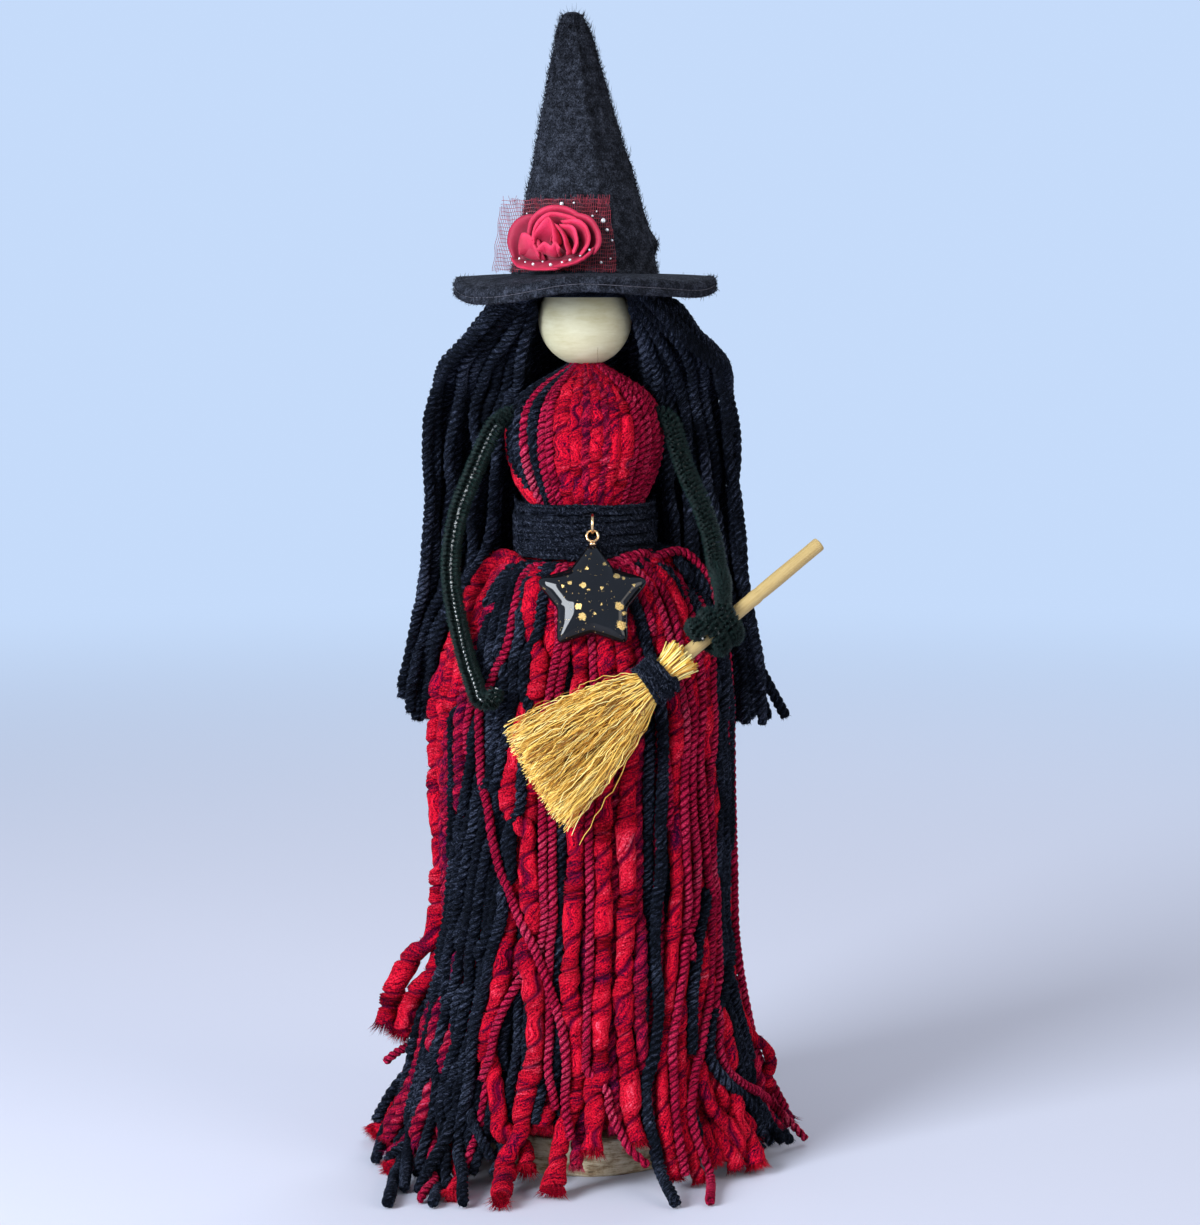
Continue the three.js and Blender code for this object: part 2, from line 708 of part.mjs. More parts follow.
function addRose() {
  const rose = new THREE.Group();
  const height = hatBase + roseLift;
  const seat = hatRadius(height) + netStandOff + netThickness / 2 + touchGap;
  rose.position.copy(hatPlace(polar(seat, degrees(roseTurn), height)));
  rose.rotation.set(degrees(90 - roseTilt), 0, degrees(roseTurn), 'ZXY');
  rose.scale.set(1, roseSquashShare, 1);
  doll.add(rose);
  const grid = (turns, rows, foam) => rows.map(([reach, lift]) => turns.map(([turn, growth]) => {
    const radius = roseHalfWidth * (reach + growth) - petalInShare * foam;
    const height = lift * roseDepth + petalUpShare * foam;
    return new THREE.Vector3(radius * Math.cos(turn), radius * Math.sin(turn), height);
  }));
  const petal = (name, turns, rows) =>
    piece(name, shell(grid(turns, rows, 0), grid(turns, rows, roseFoamThickness)), roseFoam, rose);
  const roll = range(budSteps + 1).map((i) => {
    const share = i / budSteps;
    return [share * budTurns * 2 * Math.PI, share * budGrowthShare];
  });
  petal('rose_bud', roll, budProfile);
  for (const { count, first, profile } of petalRings) {
    range(count).forEach((i) => {
      const gap = touchGap / roseHalfWidth / profile[0][0];
      const from = degrees(first) + (i / count) * 2 * Math.PI + gap;
      const to = degrees(first) + ((i + 1) / count) * 2 * Math.PI - gap;
      const turns = range(petalSteps + 1).map((k) => [mix(from, to, k / petalSteps), 0]);
      const label = count === 2 ? 'inner' : 'outer';
      petal(`rose_petal_${label}_${i + 1}`, turns, profile);
    });
  }
}

// Star charm: a ring through the waist band, an eye pin on the ring and a resin star
const charmLean = 21;
const eyeRadius = 1.5;
const eyeWireRadius = 0.35;
const linkGap = 0.15;
const pinLength = 4;
const pinGap = 0.25;
const starRadius = 15.5;
const starHollowShare = 0.56;
const starTipShare = 0.72;
const starThickness = 5;
const starBevel = 1.3;

function starOutline() {
  const inset = starRadius - starBevel;
  const corner = (i) => {
    const reach = i % 2 ? inset * starHollowShare : inset;
    const turn = (i / 10) * 2 * Math.PI;
    return new THREE.Vector2(reach * Math.sin(turn), reach * Math.cos(turn));
  };
  const shape = new THREE.Shape();
  for (const tip of range(5)) {
    const [before, point, after] = [corner(2 * tip - 1), corner(2 * tip), corner(2 * tip + 1)];
    const start = before.clone().lerp(point, starTipShare);
    const end = after.clone().lerp(point, starTipShare);
    if (tip === 0) shape.moveTo(start.x, start.y);
    else shape.lineTo(start.x, start.y);
    shape.quadraticCurveTo(point.x, point.y, end.x, end.y);
    shape.lineTo(after.x, after.y);
  }
  return shape;
}

function addCharm() {
  const charm = new THREE.Group();
  charm.position.copy(ringCentre);
  charm.rotation.x = -degrees(charmLean);
  doll.add(charm);
  const ring = new THREE.TorusGeometry(ringRadius, ringWireRadius, 6, 14).rotateY(Math.PI / 2);
  piece('jump_ring', closedBodyOf(ring), goldMetal, charm);

  const eyeCentre = -ringRadius + ringWireRadius + linkGap + eyeWireRadius - eyeRadius;
  const eye = new THREE.TorusGeometry(eyeRadius, eyeWireRadius, 6, 12).rotateX(Math.PI / 2);
  eye.translate(0, 0, eyeCentre);
  const pinTop = eyeCentre - eyeRadius;
  const pin = new THREE.CylinderGeometry(eyeWireRadius, eyeWireRadius, pinLength, 8).rotateX(Math.PI / 2);
  pin.translate(0, 0, pinTop - pinLength / 2);
  piece('eye_pin', fromSolid(toSolid(eye).add(toSolid(pin))), goldMetal, charm);

  const star = new THREE.ExtrudeGeometry(starOutline(), {
    depth: starThickness - 2 * starBevel,
    bevelThickness: starBevel,
    bevelSize: starBevel,
    bevelSegments: 2,
    curveSegments: 2,
  });
  star.translate(0, 0, starBevel - starThickness / 2);
  star.rotateX(Math.PI / 2);
  const shoulderShare = mix(starHollowShare * Math.cos(Math.PI / 5), 1, starTipShare);
  const tipReach = starBevel + (starRadius - starBevel) * (1 + shoulderShare) / 2;
  star.translate(0, 0, pinTop - eyeWireRadius - touchGap - tipReach);
  const socket = new THREE.CylinderGeometry(
    eyeWireRadius + pinGap, eyeWireRadius + pinGap, pinLength + cutOverrun, 8).rotateX(Math.PI / 2);
  socket.translate(0, 0, pinTop - (pinLength + cutOverrun) / 2);
  piece('star_charm', fromSolid(toSolid(star).subtract(toSolid(socket))), resin, charm);
}

// Arms of chenille stem, as shares of the reach sideways, forward and down from the shoulder
const armSpread = 16;
const armForward = 26;
const armDrop = 73.4;
const armWireRadius = 0.5;
const armWireBore = 0.9;
const armTipRadius = 1.9;
const armTaperShare = 0.17;
const armSteps = 15;
const armSides = 8;
const shoulderReach = 20;
const shoulderHeight = bodiceCentre + shoulderRise;
const leftArmShares = [
  [0, 0, 0], [0.21, 0.06, 0.03], [0.375, 0.115, 0.09], [0.65, 0.155, 0.23], [0.84, 0.19, 0.34],
  [0.956, 0.21, 0.467], [0.97, 0.27, 0.59], [0.85, 0.47, 0.73], [0.69, 0.76, 0.855],
  [0.54, 0.95, 0.94], [0.45, 1.03, 0.986], [0.25, 1.07, 0.99], [0.175, 1.07, 0.947],
];
const rightArmShares = [
  [0, 0, 0], [0.19, 0.06, 0.03], [0.27, 0.115, 0.09], [0.44, 0.19, 0.203],
  [0.67, 0.27, 0.314], [0.84, 0.385, 0.425], [0.93, 0.52, 0.536],
];
const handShare = [0.85, 1.01, 0.747];
const wristShares = [6, 2.4];

const fromShoulder = (way, [out, forward, down]) => new THREE.Vector3(
  way * (shoulderReach + out * armSpread),
  -shoulderForward - forward * armForward,
  shoulderHeight - down * armDrop);

function addArm(label, way, points) {
  const start = way * (bodiceRadius - sleeveLength + touchGap);
  const inner = new THREE.Vector3(start, -shoulderForward, shoulderHeight);
  const route = new THREE.CatmullRomCurve3([inner, ...points]).getSpacedPoints(armSteps);
  const pileAt = (share) =>
    mix(armTipRadius, sleeveRadius, Math.min(1, (1 - share) / armTaperShare));
  const pile = shell(
    ringsAlong(route, pileAt, armSides), ringsAlong(route, () => armWireBore, armSides), true);
  piece(`${label}_arm_pile`, pile, chenille);
  piece(`${label}_arm_wire`, loft(ringsAlong(route, () => armWireRadius, 4)), coreWire);
}

// Broom, along Z in its own frame with the hand at zero, and the hand's coil round its handle
const broomTilt = 37.4;
const broomTurn = 16.6;
const handleRadius = 1.95;
const handleAbove = 36.5;
const handleSides = 12;
const gripGap = 0.35;
const coilRadius = 1.9;
const coilPitch = 4.3;
const coilTurns = 2;
const coilStart = -129;
const bundleTop = -15.8;
const bundleHalfWidth = 4.1;
const bundleHalfDepth = 3.7;
const tuftRing = 3.5;
const fanBacking = 3.8;
const fanLength = 37;
const fanSpread = 3.9;
const fanDepthSpread = 1.5;
const fanSkewShare = 0.055;
const fanRaggedShare = 0.09;
const fanPitch = 0.46;
const tuftLength = 6;
const tuftSpread = 1.15;
const tuftRaggedShare = 0.3;
const tuftPitch = 0.7;
const latticeReachShare = 0.6;
const strandShare = 0.8;
const broomYarnRadius = 0.5;
const broomBandPitch = 1.95;
const broomBandTurns = 3;

const handFrame = new THREE.Group();
handFrame.position.copy(fromShoulder(1, handShare));
handFrame.rotation.set(0, degrees(90 - broomTilt), degrees(broomTurn), 'ZYX');
handFrame.updateMatrix();
doll.add(handFrame);

// Strands of three sides grown from one face of a backing slice, on a grid of small triangles
function bristles(name, { pitch, inside, from, to, reach, hub }) {
  const away = Math.sign(to - from) * -1;
  const spots = [];
  const extent = Math.ceil((2 * bundleHalfWidth) / pitch);
  const corner = (i, j) => [(i + j / 2) * pitch, (j * Math.sqrt(3) * pitch) / 2];
  for (let i = -extent; i <= extent; i++) {
    for (let j = -extent; j <= extent; j++) {
      const upright = [[i, j], [i + 1, j], [i, j + 1]];
      const hanging = [[i + 1, j], [i + 1, j + 1], [i, j + 1]];
      for (const [corners, strand] of [[upright, true], [hanging, false]]) {
        const [x, y] = corners.map(([a, b]) => corner(a, b))
          .reduce((sum, p) => [sum[0] + p[0] / 3, sum[1] + p[1] / 3], [0, 0]);
        if (inside(x, y)) spots.push({ corners, strand, x, y });
      }
    }
  }
  const points = [];
  const faces = [];
  const known = new Map();
  const at = ([i, j], height) => {
    const key = `${i},${j},${height}`;
    if (!known.has(key)) {
      known.set(key, points.push(new THREE.Vector3(...corner(i, j), height)) - 1);
    }
    return known.get(key);
  };
  const rim = new Map();
  for (const { corners } of spots) {
    corners.forEach((p, k) => {
      const q = corners[(k + 1) % 3];
      const [key, reverse] = [`${p}|${q}`, `${q}|${p}`];
      if (rim.has(reverse)) rim.delete(reverse);
      else rim.set(key, [p, q]);
    });
  }
  for (const [p, q] of rim.values()) {
    faces.push(...quad(at(q, from), at(p, from), at(p, to), at(q, to)));
  }
  const middle = hub ? points.push(new THREE.Vector3(0, 0, from)) - 1 : 0;
  if (hub) for (const [p, q] of rim.values()) faces.push([at(p, from), at(q, from), middle]);
  let strands = 0;
  for (const { corners, strand, x, y } of spots) {
    const base = corners.map((p) => at(p, to));
    if (!hub) faces.push(corners.map((p) => at(p, from)));
    if (!strand) {
      faces.push([base[0], base[2], base[1]]);
      continue;
    }
    strands += 1;
    const end = reach(x, y, strands);
    const tips = base.map((k) => points.push(new THREE.Vector3(
      end.x + (points[k].x - x) * strandShare, end.y + (points[k].y - y) * strandShare, end.z)) - 1);
    base.forEach((k, side) => {
      const next = (side + 1) % 3;
      faces.push(...quad(base[next], k, tips[side], tips[next]));
    });
    faces.push([tips[0], tips[2], tips[1]]);
  }
  const facing = away > 0 ? faces : faces.map(([a, b, c]) => [a, c, b]);
  piece(name, closedBody(points, facing), bristleFibre, handFrame);
}

function addBroom() {
  const tuftLow = bundleTop - tuftRing;
  const fanHigh = tuftLow - touchGap;
  const fanLow = fanHigh - fanBacking;
  const handle = [
    [0, tuftLow], [handleRadius, tuftLow], [handleRadius, handleAbove], [0, handleAbove],
  ];
  piece('broom_handle', turned(handle, handleSides), bambooWood, handFrame);
  const oval = (x, y) => (x / bundleHalfWidth) ** 2 + (y / bundleHalfDepth) ** 2 < 1;
  bristles('broom_bristles', {
    pitch: fanPitch,
    inside: oval,
    from: fanHigh,
    to: fanLow,
    hub: true,
    reach: (x, y, index) => {
      const skew = fanSkewShare * (x / bundleHalfWidth);
      const length = fanLength * (1 + skew - fanRaggedShare * scatter(index, 1));
      return new THREE.Vector3(
        x * (1 + (fanSpread - 1) * (length / fanLength)),
        y * (1 + (fanDepthSpread - 1) * (length / fanLength)), fanLow - length);
    },
  });
  const clear = handleRadius + touchGap + latticeReachShare * tuftPitch;
  bristles('broom_tuft', {
    pitch: tuftPitch,
    inside: (x, y) => oval(x, y) && Math.hypot(x, y) > clear,
    from: tuftLow,
    to: bundleTop,
    hub: false,
    reach: (x, y, index) => {
      const length = tuftLength * (1 - tuftRaggedShare * scatter(index, 2));
      const spread = 1 + (tuftSpread - 1) * (length / tuftLength);
      return new THREE.Vector3(x * spread, y * spread, bundleTop + length);
    },
  });
  const clearOf = touchGap + broomYarnRadius + latticeReachShare * tuftPitch;
  const bandMiddle = (bundleTop + fanLow) / 2;
  const bandAt = (turns) => new THREE.Vector3(
    (bundleHalfWidth + clearOf) * Math.cos(turns * 2 * Math.PI),
    (bundleHalfDepth + clearOf) * Math.sin(turns * 2 * Math.PI),
    bandMiddle + (turns - broomBandTurns / 2) * broomBandPitch);
  handFrame.add(winding('broom_band', bandAt, 0, broomBandTurns, broomYarnRadius, blackYarn));
}

function addHands() {
  const gripRadius = handleRadius + gripGap + coilRadius;
  const coilAt = (turns) => {
    const angle = degrees(coilStart) + turns * 2 * Math.PI;
    const height = coilPitch * (coilTurns / 2 - turns);
    return new THREE.Vector3(gripRadius * Math.cos(angle), gripRadius * Math.sin(angle), height);
  };
  handFrame.add(winding('hand_coil', coilAt, 0, coilTurns, coilRadius, chenille));
  const start = coilAt(0);
  const back = start.clone().sub(coilAt(1 / loopSteps)).normalize();
  const wrist = wristShares.map((share) =>
    start.clone().addScaledVector(back, share * coilRadius).applyMatrix4(handFrame.matrix));
  addArm('right', 1, [...rightArmShares.map((shares) => fromShoulder(1, shares)), ...wrist]);
  addArm('left', -1, leftArmShares.map((shares) => fromShoulder(-1, shares)));
}

addBase();
addHead();
addBodyBall();
addBodice();
addWaist();
addHat();
addSkirt();
addHair();
addNet();
addRose();
addCharm();
addBroom();
addHands();

export default doll;
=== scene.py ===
import math
import bpy
import numpy as np
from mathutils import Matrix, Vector
from mathutils.kdtree import KDTree


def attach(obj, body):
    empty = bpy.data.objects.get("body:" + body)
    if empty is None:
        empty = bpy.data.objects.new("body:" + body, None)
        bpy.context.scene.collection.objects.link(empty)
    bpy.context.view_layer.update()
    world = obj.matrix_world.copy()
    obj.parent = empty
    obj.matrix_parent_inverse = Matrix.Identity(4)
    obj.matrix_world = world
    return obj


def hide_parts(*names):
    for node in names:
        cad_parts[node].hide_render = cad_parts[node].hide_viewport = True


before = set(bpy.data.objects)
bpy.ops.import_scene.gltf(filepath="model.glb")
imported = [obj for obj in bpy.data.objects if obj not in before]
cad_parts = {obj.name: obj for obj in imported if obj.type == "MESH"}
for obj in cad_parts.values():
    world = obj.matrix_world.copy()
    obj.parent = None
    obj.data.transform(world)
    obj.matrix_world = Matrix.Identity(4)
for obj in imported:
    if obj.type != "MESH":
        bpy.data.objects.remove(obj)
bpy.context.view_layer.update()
MM = 0.001
TAU = 2 * math.pi


# Camera: 800 mm in front, at the height of the hat brim, looking slightly down
CAM = dict(x=4.0, dist=800.0, height=232.0, pitch=6.0, focal=2985.0, wide=1200, high=1225)
SENSOR = 36
cam_data = bpy.data.cameras.new("camera")
cam = bpy.data.objects.new("camera", cam_data)
bpy.context.collection.objects.link(cam)
cam.location = (CAM["x"] * MM, -CAM["dist"] * MM, CAM["height"] * MM)
cam.rotation_euler = (math.radians(90 - CAM["pitch"]), 0, 0)
cam_data.sensor_width = SENSOR
cam_data.lens = CAM["focal"] / CAM["high"] * SENSOR
cam_data.clip_start = 0.01
bpy.context.scene.camera = cam


def ray(px, py):
    """Direction through a pixel of the picture, from the camera"""
    pitch = math.radians(CAM["pitch"])
    right = (px - CAM["wide"] / 2) / CAM["focal"]
    up = (CAM["high"] / 2 - py) / CAM["focal"]
    return np.array([right, math.cos(pitch) + up * math.sin(pitch), up * math.cos(pitch) - math.sin(pitch)])


EYE = np.array([CAM["x"], -CAM["dist"], CAM["height"]])


def at_depth(px, py, y):
    d = ray(px, py)
    return EYE + d * ((y - EYE[1]) / d[1])


def on_floor(px, py, z):
    d = ray(px, py)
    return EYE + d * ((z - EYE[2]) / d[2])


# Heights in millimetres
SKIRT_TOP = 163.1
WAIST, WAIST_TOP = 163.4, 177.8
WOUND_LOW, WOUND_HIGH = 164.3, 177.2
BODICE_MID = 196.0
SHOULDER_Z = 201.0
HEAD = 226.7
BRIM_UNDER = 234.6
HAT_BASE, HAT_TOP = 239.0, 307.2
HAIR_BOTTOM, HAIR_TOP = 115.4, 234.3
STICK_LOW, STICK_TOP = 4.3, 230.9

# Reaches from the middle in millimetres
SKIRT_SIDE, SKIRT_FRONT = 40.5, 36.5
HAIR_SIDE, HAIR_BACK = 46, 36
HAT_R, BRIM_R = 19.2, 35.0
STICK_R, BORE_R = 3.0, 3.3
BALL_R, BEAD_R, CROWN_R = 15.0, 12.5, 13.4
SLICE_R, SLICE_H = 28.0, 10.0

# The skirt is pressed in behind the broom: how deep, how wide in radians, middle height and height
PRESS_DEEP, PRESS_TURN, PRESS_MID, PRESS_TALL = 2.4, 0.6, 118, 34


def along(rows, place, column=1):
    """A table's value at a place, between its rows"""
    return np.interp(place, [r[0] for r in rows], [r[column] for r in rows])


def joined(*arrays):
    """Arrays side by side, as the last axis"""
    return np.stack(np.broadcast_arrays(*arrays), axis=-1)


def spots(radius, turn, z):
    return joined(radius * np.sin(turn), -radius * np.cos(turn), z)


def spot(radius, turn, z):
    return [radius * math.sin(turn), -radius * math.cos(turn), z]


LEVEL = np.array([1, 1, 0])


def unit(rows, least=1e-9):
    """Vectors made one long, with a least length that keeps zeros from dividing"""
    return rows / (np.linalg.norm(rows, axis=-1)[..., None] + least)


# Outlines: share of the height, then the reach at the side and at the front or back
SKIRT = [
    (0, 1.407, 1.315), (0.062, 1.284, 1.233), (0.168, 1.16, 1.123), (0.299, 1.037, 1.04),
    (0.417, 0.975, 1), (0.622, 0.995, 0.973), (0.753, 1, 0.904), (0.834, 0.963, 0.808),
    (0.877, 0.9, 0.74), (0.921, 0.79, 0.685), (0.9645, 0.654, 0.616), (1, 0.474, 0.526)]
HAIR = [
    (0, 1.09, 1.14), (0.068, 1.08, 1.11), (0.177, 1.06, 1.03), (0.296, 1.035, 0.986),
    (0.422, 1.004, 0.97), (0.532, 0.978, 0.96), (0.65, 0.97, 0.93), (0.726, 0.957, 0.89),
    (0.785, 0.913, 0.83), (0.853, 0.826, 0.75), (0.912, 0.674, 0.67), (0.963, 0.565, 0.58),
    (1, 0.39, 0.5)]


def skirt_radius(z, turn):
    share = z / SKIRT_TOP
    side = SKIRT_SIDE * along(SKIRT, share)
    front = SKIRT_FRONT * along(SKIRT, share, 2)
    past = (turn + np.pi) % TAU - np.pi
    pressed = PRESS_DEEP * np.exp(-(past / PRESS_TURN) ** 2 - ((z - PRESS_MID) / PRESS_TALL) ** 2)
    return front + (side - front) * np.sin(turn) ** 2 - pressed


def hair_inner(z, turn):
    rows = [(WAIST, 24.0), (WAIST_TOP, 23.2), (BODICE_MID, 21.9), (BODICE_MID + 8.95, 19.5),
            (BODICE_MID + 13.4, 15.7), (HEAD, 13.4), (HAIR_TOP, 15.1)]
    body = along(rows, z)
    skirt = np.where(z < SKIRT_TOP, skirt_radius(z, turn) + 0.9, 0)
    return np.maximum(body, skirt)


def hair_outer(z, turn):
    share = (z - HAIR_BOTTOM) / (HAIR_TOP - HAIR_BOTTOM)
    side = HAIR_SIDE * along(HAIR, share)
    back = HAIR_BACK * along(HAIR, share, 2)
    least = hair_inner(z, turn) + np.where(share > 0.995, 3, 6)
    return np.maximum(back + (side - back) * np.sin(turn) ** 2, least)


class Wave:
    """Smooth repeatable wander along a length"""

    def __init__(self, rng, longest, terms=4):
        self.rows = [(TAU * (k + 1) / longest * rng.uniform(0.8, 1.2), rng.uniform(0, TAU), 1 / (k + 1))
                     for k in range(terms)]

    def __call__(self, s):
        return sum(a * np.sin(w * s + p) for w, p, a in self.rows) / 1.6


# Meshes made from arrays
class Parts:
    def __init__(self):
        self.points, self.data, self.quads, self.tris, self.count = [], [], [], [], 0

    def add(self, points, quads=None, tris=None, data=None):
        points = np.asarray(points, float).reshape(-1, 3)
        if quads is not None and len(quads):
            self.quads.append(np.asarray(quads) + self.count)
        if tris is not None and len(tris):
            self.tris.append(np.asarray(tris) + self.count)
        self.points.append(points)
        self.data.append(np.zeros((len(points), 3)) if data is None else np.asarray(data).reshape(-1, 3))
        self.count += len(points)

    def build(self, name, material, body="root", nodes=(), slot=None, smooth=True):
        points = np.concatenate(self.points) * MM
        points[:, 2] = np.maximum(points[:, 2], 0.0)
        quads = np.concatenate(self.quads) if self.quads else np.zeros((0, 4), int)
        tris = np.concatenate(self.tris) if self.tris else np.zeros((0, 3), int)
        me = bpy.data.meshes.new(name)
        me.vertices.add(len(points))
        me.vertices.foreach_set("co", points.astype(np.float32).ravel())
        loops = np.concatenate([quads.ravel(), tris.ravel()])
        me.loops.add(len(loops))
        me.loops.foreach_set("vertex_index", loops.astype(np.int32))
        starts = np.concatenate([np.arange(len(quads)) * 4, len(quads) * 4 + np.arange(len(tris)) * 3])
        me.polygons.add(len(starts))
        me.polygons.foreach_set("loop_start", starts.astype(np.int32))
        me.update(calc_edges=True)
        me.validate()
        me.polygons.foreach_set("use_smooth", np.full(len(me.polygons), smooth))
        layer = me.attributes.new("strand", "FLOAT_VECTOR", "POINT")
        layer.data.foreach_set("vector", np.concatenate(self.data).astype(np.float32).ravel())
        ob = bpy.data.objects.new(name, me)
        bpy.context.collection.objects.link(ob)
        me.materials.append(material)
        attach(ob, body)
        if nodes:
            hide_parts(*nodes)
        return ob


def grid_faces(rows, columns, wrap=False, offset=0):
    spans = columns if wrap else columns - 1
    r, c = np.meshgrid(np.arange(rows - 1), np.arange(spans), indexing="ij")
    a = r * columns + c
    b = r * columns + (c + 1) % columns
    return np.stack([a, b, b + columns, a + columns], axis=-1).reshape(-1, 4) + offset


def resample(route, step):
    """Catmull-Rom curve through the points, in equal steps"""
    p = np.asarray(route, float)
    p = np.vstack([2 * p[0] - p[1], p, 2 * p[-1] - p[-2]])
    fine = []
    for i in range(1, len(p) - 2):
        t = np.linspace(0, 1, 16, endpoint=False)[:, None]
        a, b, c, d = p[i - 1], p[i], p[i + 1], p[i + 2]
        fine.append(0.5 * ((2 * b) + (c - a) * t + (2 * a - 5 * b + 4 * c - d) * t ** 2
                           + (3 * b - a - 3 * c + d) * t ** 3))
    fine = np.vstack([*fine, p[-2][None]])
    length = np.concatenate([[0], np.cumsum(np.linalg.norm(np.diff(fine, axis=0), axis=1))])
    n = max(3, int(length[-1] / step) + 1)
    s = np.linspace(0, length[-1], n)
    return joined(*(np.interp(s, length, fine[:, k]) for k in range(3))), s


def square_to(way):
    """A vector that isn't along the one given"""
    return np.array([0, 0, 1.0]) if abs(way[2]) < 0.9 else np.array([1.0, 0, 0])


def frames(route):
    """Tangents, normals and sides along a route, that don't twist about it"""
    tangent = unit(np.gradient(route, axis=0), 1e-12)
    normal = np.cross(tangent[0], square_to(tangent[0]))
    normals = []
    for t in tangent:
        normal = normal - t * np.dot(normal, t)
        normal = normal / (np.linalg.norm(normal) + 1e-12)
        normals.append(normal)
    normals = np.array(normals)
    return tangent, normals, np.cross(tangent, normals)


def tube(parts, route, radius, sides, plies=0, twist=5.0, groove=0.18, seed=0.0, s=None, thin=False):
    """A tube along a route. Its columns follow the plies, whose data are length, ply phase and seed.
    Thin means one thick ply with a thin one sunk beside it, which the yarn material paints dark as shade."""
    route = np.asarray(route, float)
    n = len(route)
    if s is None:
        s = np.concatenate([[0], np.cumsum(np.linalg.norm(np.diff(route, axis=0), axis=1))])
    _, normal, side = frames(route)
    column = np.arange(sides) / sides * TAU
    if plies:
        if thin:
            away = np.abs((column + math.pi) % TAU - math.pi)
            dip = np.exp(-(away / 0.5) ** 2)
            phase = 2 * away / math.pi - 1
            turn = s / twist * TAU
        else:
            crest = np.abs(np.cos(plies * column / 2))
            dip = 1 - crest
            phase = 2 * crest - 1
            turn = s / (twist * plies) * TAU
        shape = 1 - groove * dip
        angle = column[None] + turn[:, None]
    else:
        shape, phase, angle = np.ones(sides), np.zeros(sides), column[None] + np.zeros((n, 1))
    radius = np.broadcast_to(radius, (n,))
    r = radius[:, None] * shape[None]
    out = normal[:, None] * np.cos(angle)[..., None] + side[:, None] * np.sin(angle)[..., None]
    points = route[:, None] + out * r[..., None]
    data = joined(s[:, None], phase[None], seed)
    points = np.vstack([points.reshape(-1, 3), route[0], route[-1]])
    data = np.vstack([data.reshape(-1, 3), [s[0], 0, seed], [s[-1], 0, seed]])
    hub = n * sides
    last = (n - 1) * sides
    tris = [[hub, i, (i + 1) % sides] for i in range(sides)]
    tris += [[hub + 1, last + (i + 1) % sides, last + i] for i in range(sides)]
    parts.add(points, grid_faces(n, sides, wrap=True)[:, ::-1], tris, data)


def spikes(parts, base, mid, tip, width, data):
    """Closed three sided fibres through base, mid and tip, with data for the three heights"""
    count = len(base)
    way = unit(tip - base)
    seed = np.where(np.abs(way[:, 2:3]) < 0.9, [[0, 0, 1.0]], [[1.0, 0, 0]])
    a = unit(np.cross(way, seed))
    b = np.cross(way, a)
    width = np.broadcast_to(width, (count,))[:, None] * 0.58
    corners = [a * math.cos(t) + b * math.sin(t) for t in (0.0, TAU / 3, 2 * TAU / 3)]
    rings = [base + c * width for c in corners] + [mid + c * width * 0.8 for c in corners] + [tip]
    points = np.stack(rings, axis=1).reshape(-1, 3)
    k = np.arange(count)[:, None] * 7
    quads = np.vstack([np.hstack([k + i, k + j, k + 3 + j, k + 3 + i]) for i, j in ((0, 1), (1, 2), (2, 0))])
    tris = np.vstack([np.hstack([k + 3 + i, k + 3 + j, k + 6]) for i, j in ((0, 1), (1, 2), (2, 0))]
                     + [np.hstack([k + 2, k + 1, k])])
    parts.add(points, quads, tris, np.asarray(data)[:, [0, 0, 0, 1, 1, 1, 2]].reshape(-1, 3))


def fuzz(parts, rng, route, radius, count, length, seed):
    """Fine stray fibres standing off a strand"""
    width, lean = 0.09, 0.6
    if count < 1:
        return
    tangent, normal, side = frames(route)
    i = rng.integers(0, len(route), count)
    angle = rng.uniform(0, TAU, count)
    out = normal[i] * np.cos(angle)[:, None] + side[i] * np.sin(angle)[:, None]
    flow = tangent[i] * rng.uniform(-1, 1, count)[:, None]
    across = np.cross(out, tangent[i])
    r = np.broadcast_to(radius, (len(route),))[i][:, None]
    reach = rng.uniform(0.4, 1, count)[:, None] * length
    base = route[i] + out * r * 0.85
    mid = base + (out * 0.5 + flow * lean) * reach * 0.5 + across * rng.uniform(-0.2, 0.2, (count, 1)) * reach
    tip = mid + (out * 0.35 + flow * lean + across * rng.uniform(-0.6, 0.6, (count, 1))) * reach * 0.5
    data = np.tile([0.0, 0.6, seed], (count, 3, 1))
    data[:, :, 0] = rng.uniform(0, 400, (count, 1))
    spikes(parts, base, mid, tip, width, data)


def brush(parts, rng, centre, way, radius, count, length, flare, seed):
    """The cut end of a strand: fibres that fan out along it"""
    width = 0.14
    way = unit(way, 0)
    a = unit(np.cross(way, [0.3, 0.5, 0.81]), 0)
    b = np.cross(way, a)
    turn = rng.uniform(0, TAU, count)
    out = np.sqrt(rng.uniform(0, 1, count))
    spoke = a * np.cos(turn)[:, None] + b * np.sin(turn)[:, None]
    reach = length * rng.uniform(0.55, 1, (count, 1))
    base = centre + spoke * (out * radius * 0.85)[:, None] - way * 1.0
    mid = base + way * reach * 0.6 + spoke * (out * flare)[:, None] * reach * 0.35
    tip = mid + way * reach * 0.45 + spoke * (out * flare * 1.5)[:, None] * reach * 0.5
    tip = tip + rng.normal(0, 0.12, tip.shape) * length * 0.4
    for rows in (mid, tip):
        rows[:, 2] = np.maximum(rows[:, 2], 0.12)
    spikes(parts, base, mid, tip, width, np.tile([0.0, 0.9, seed], (count, 3, 1)))


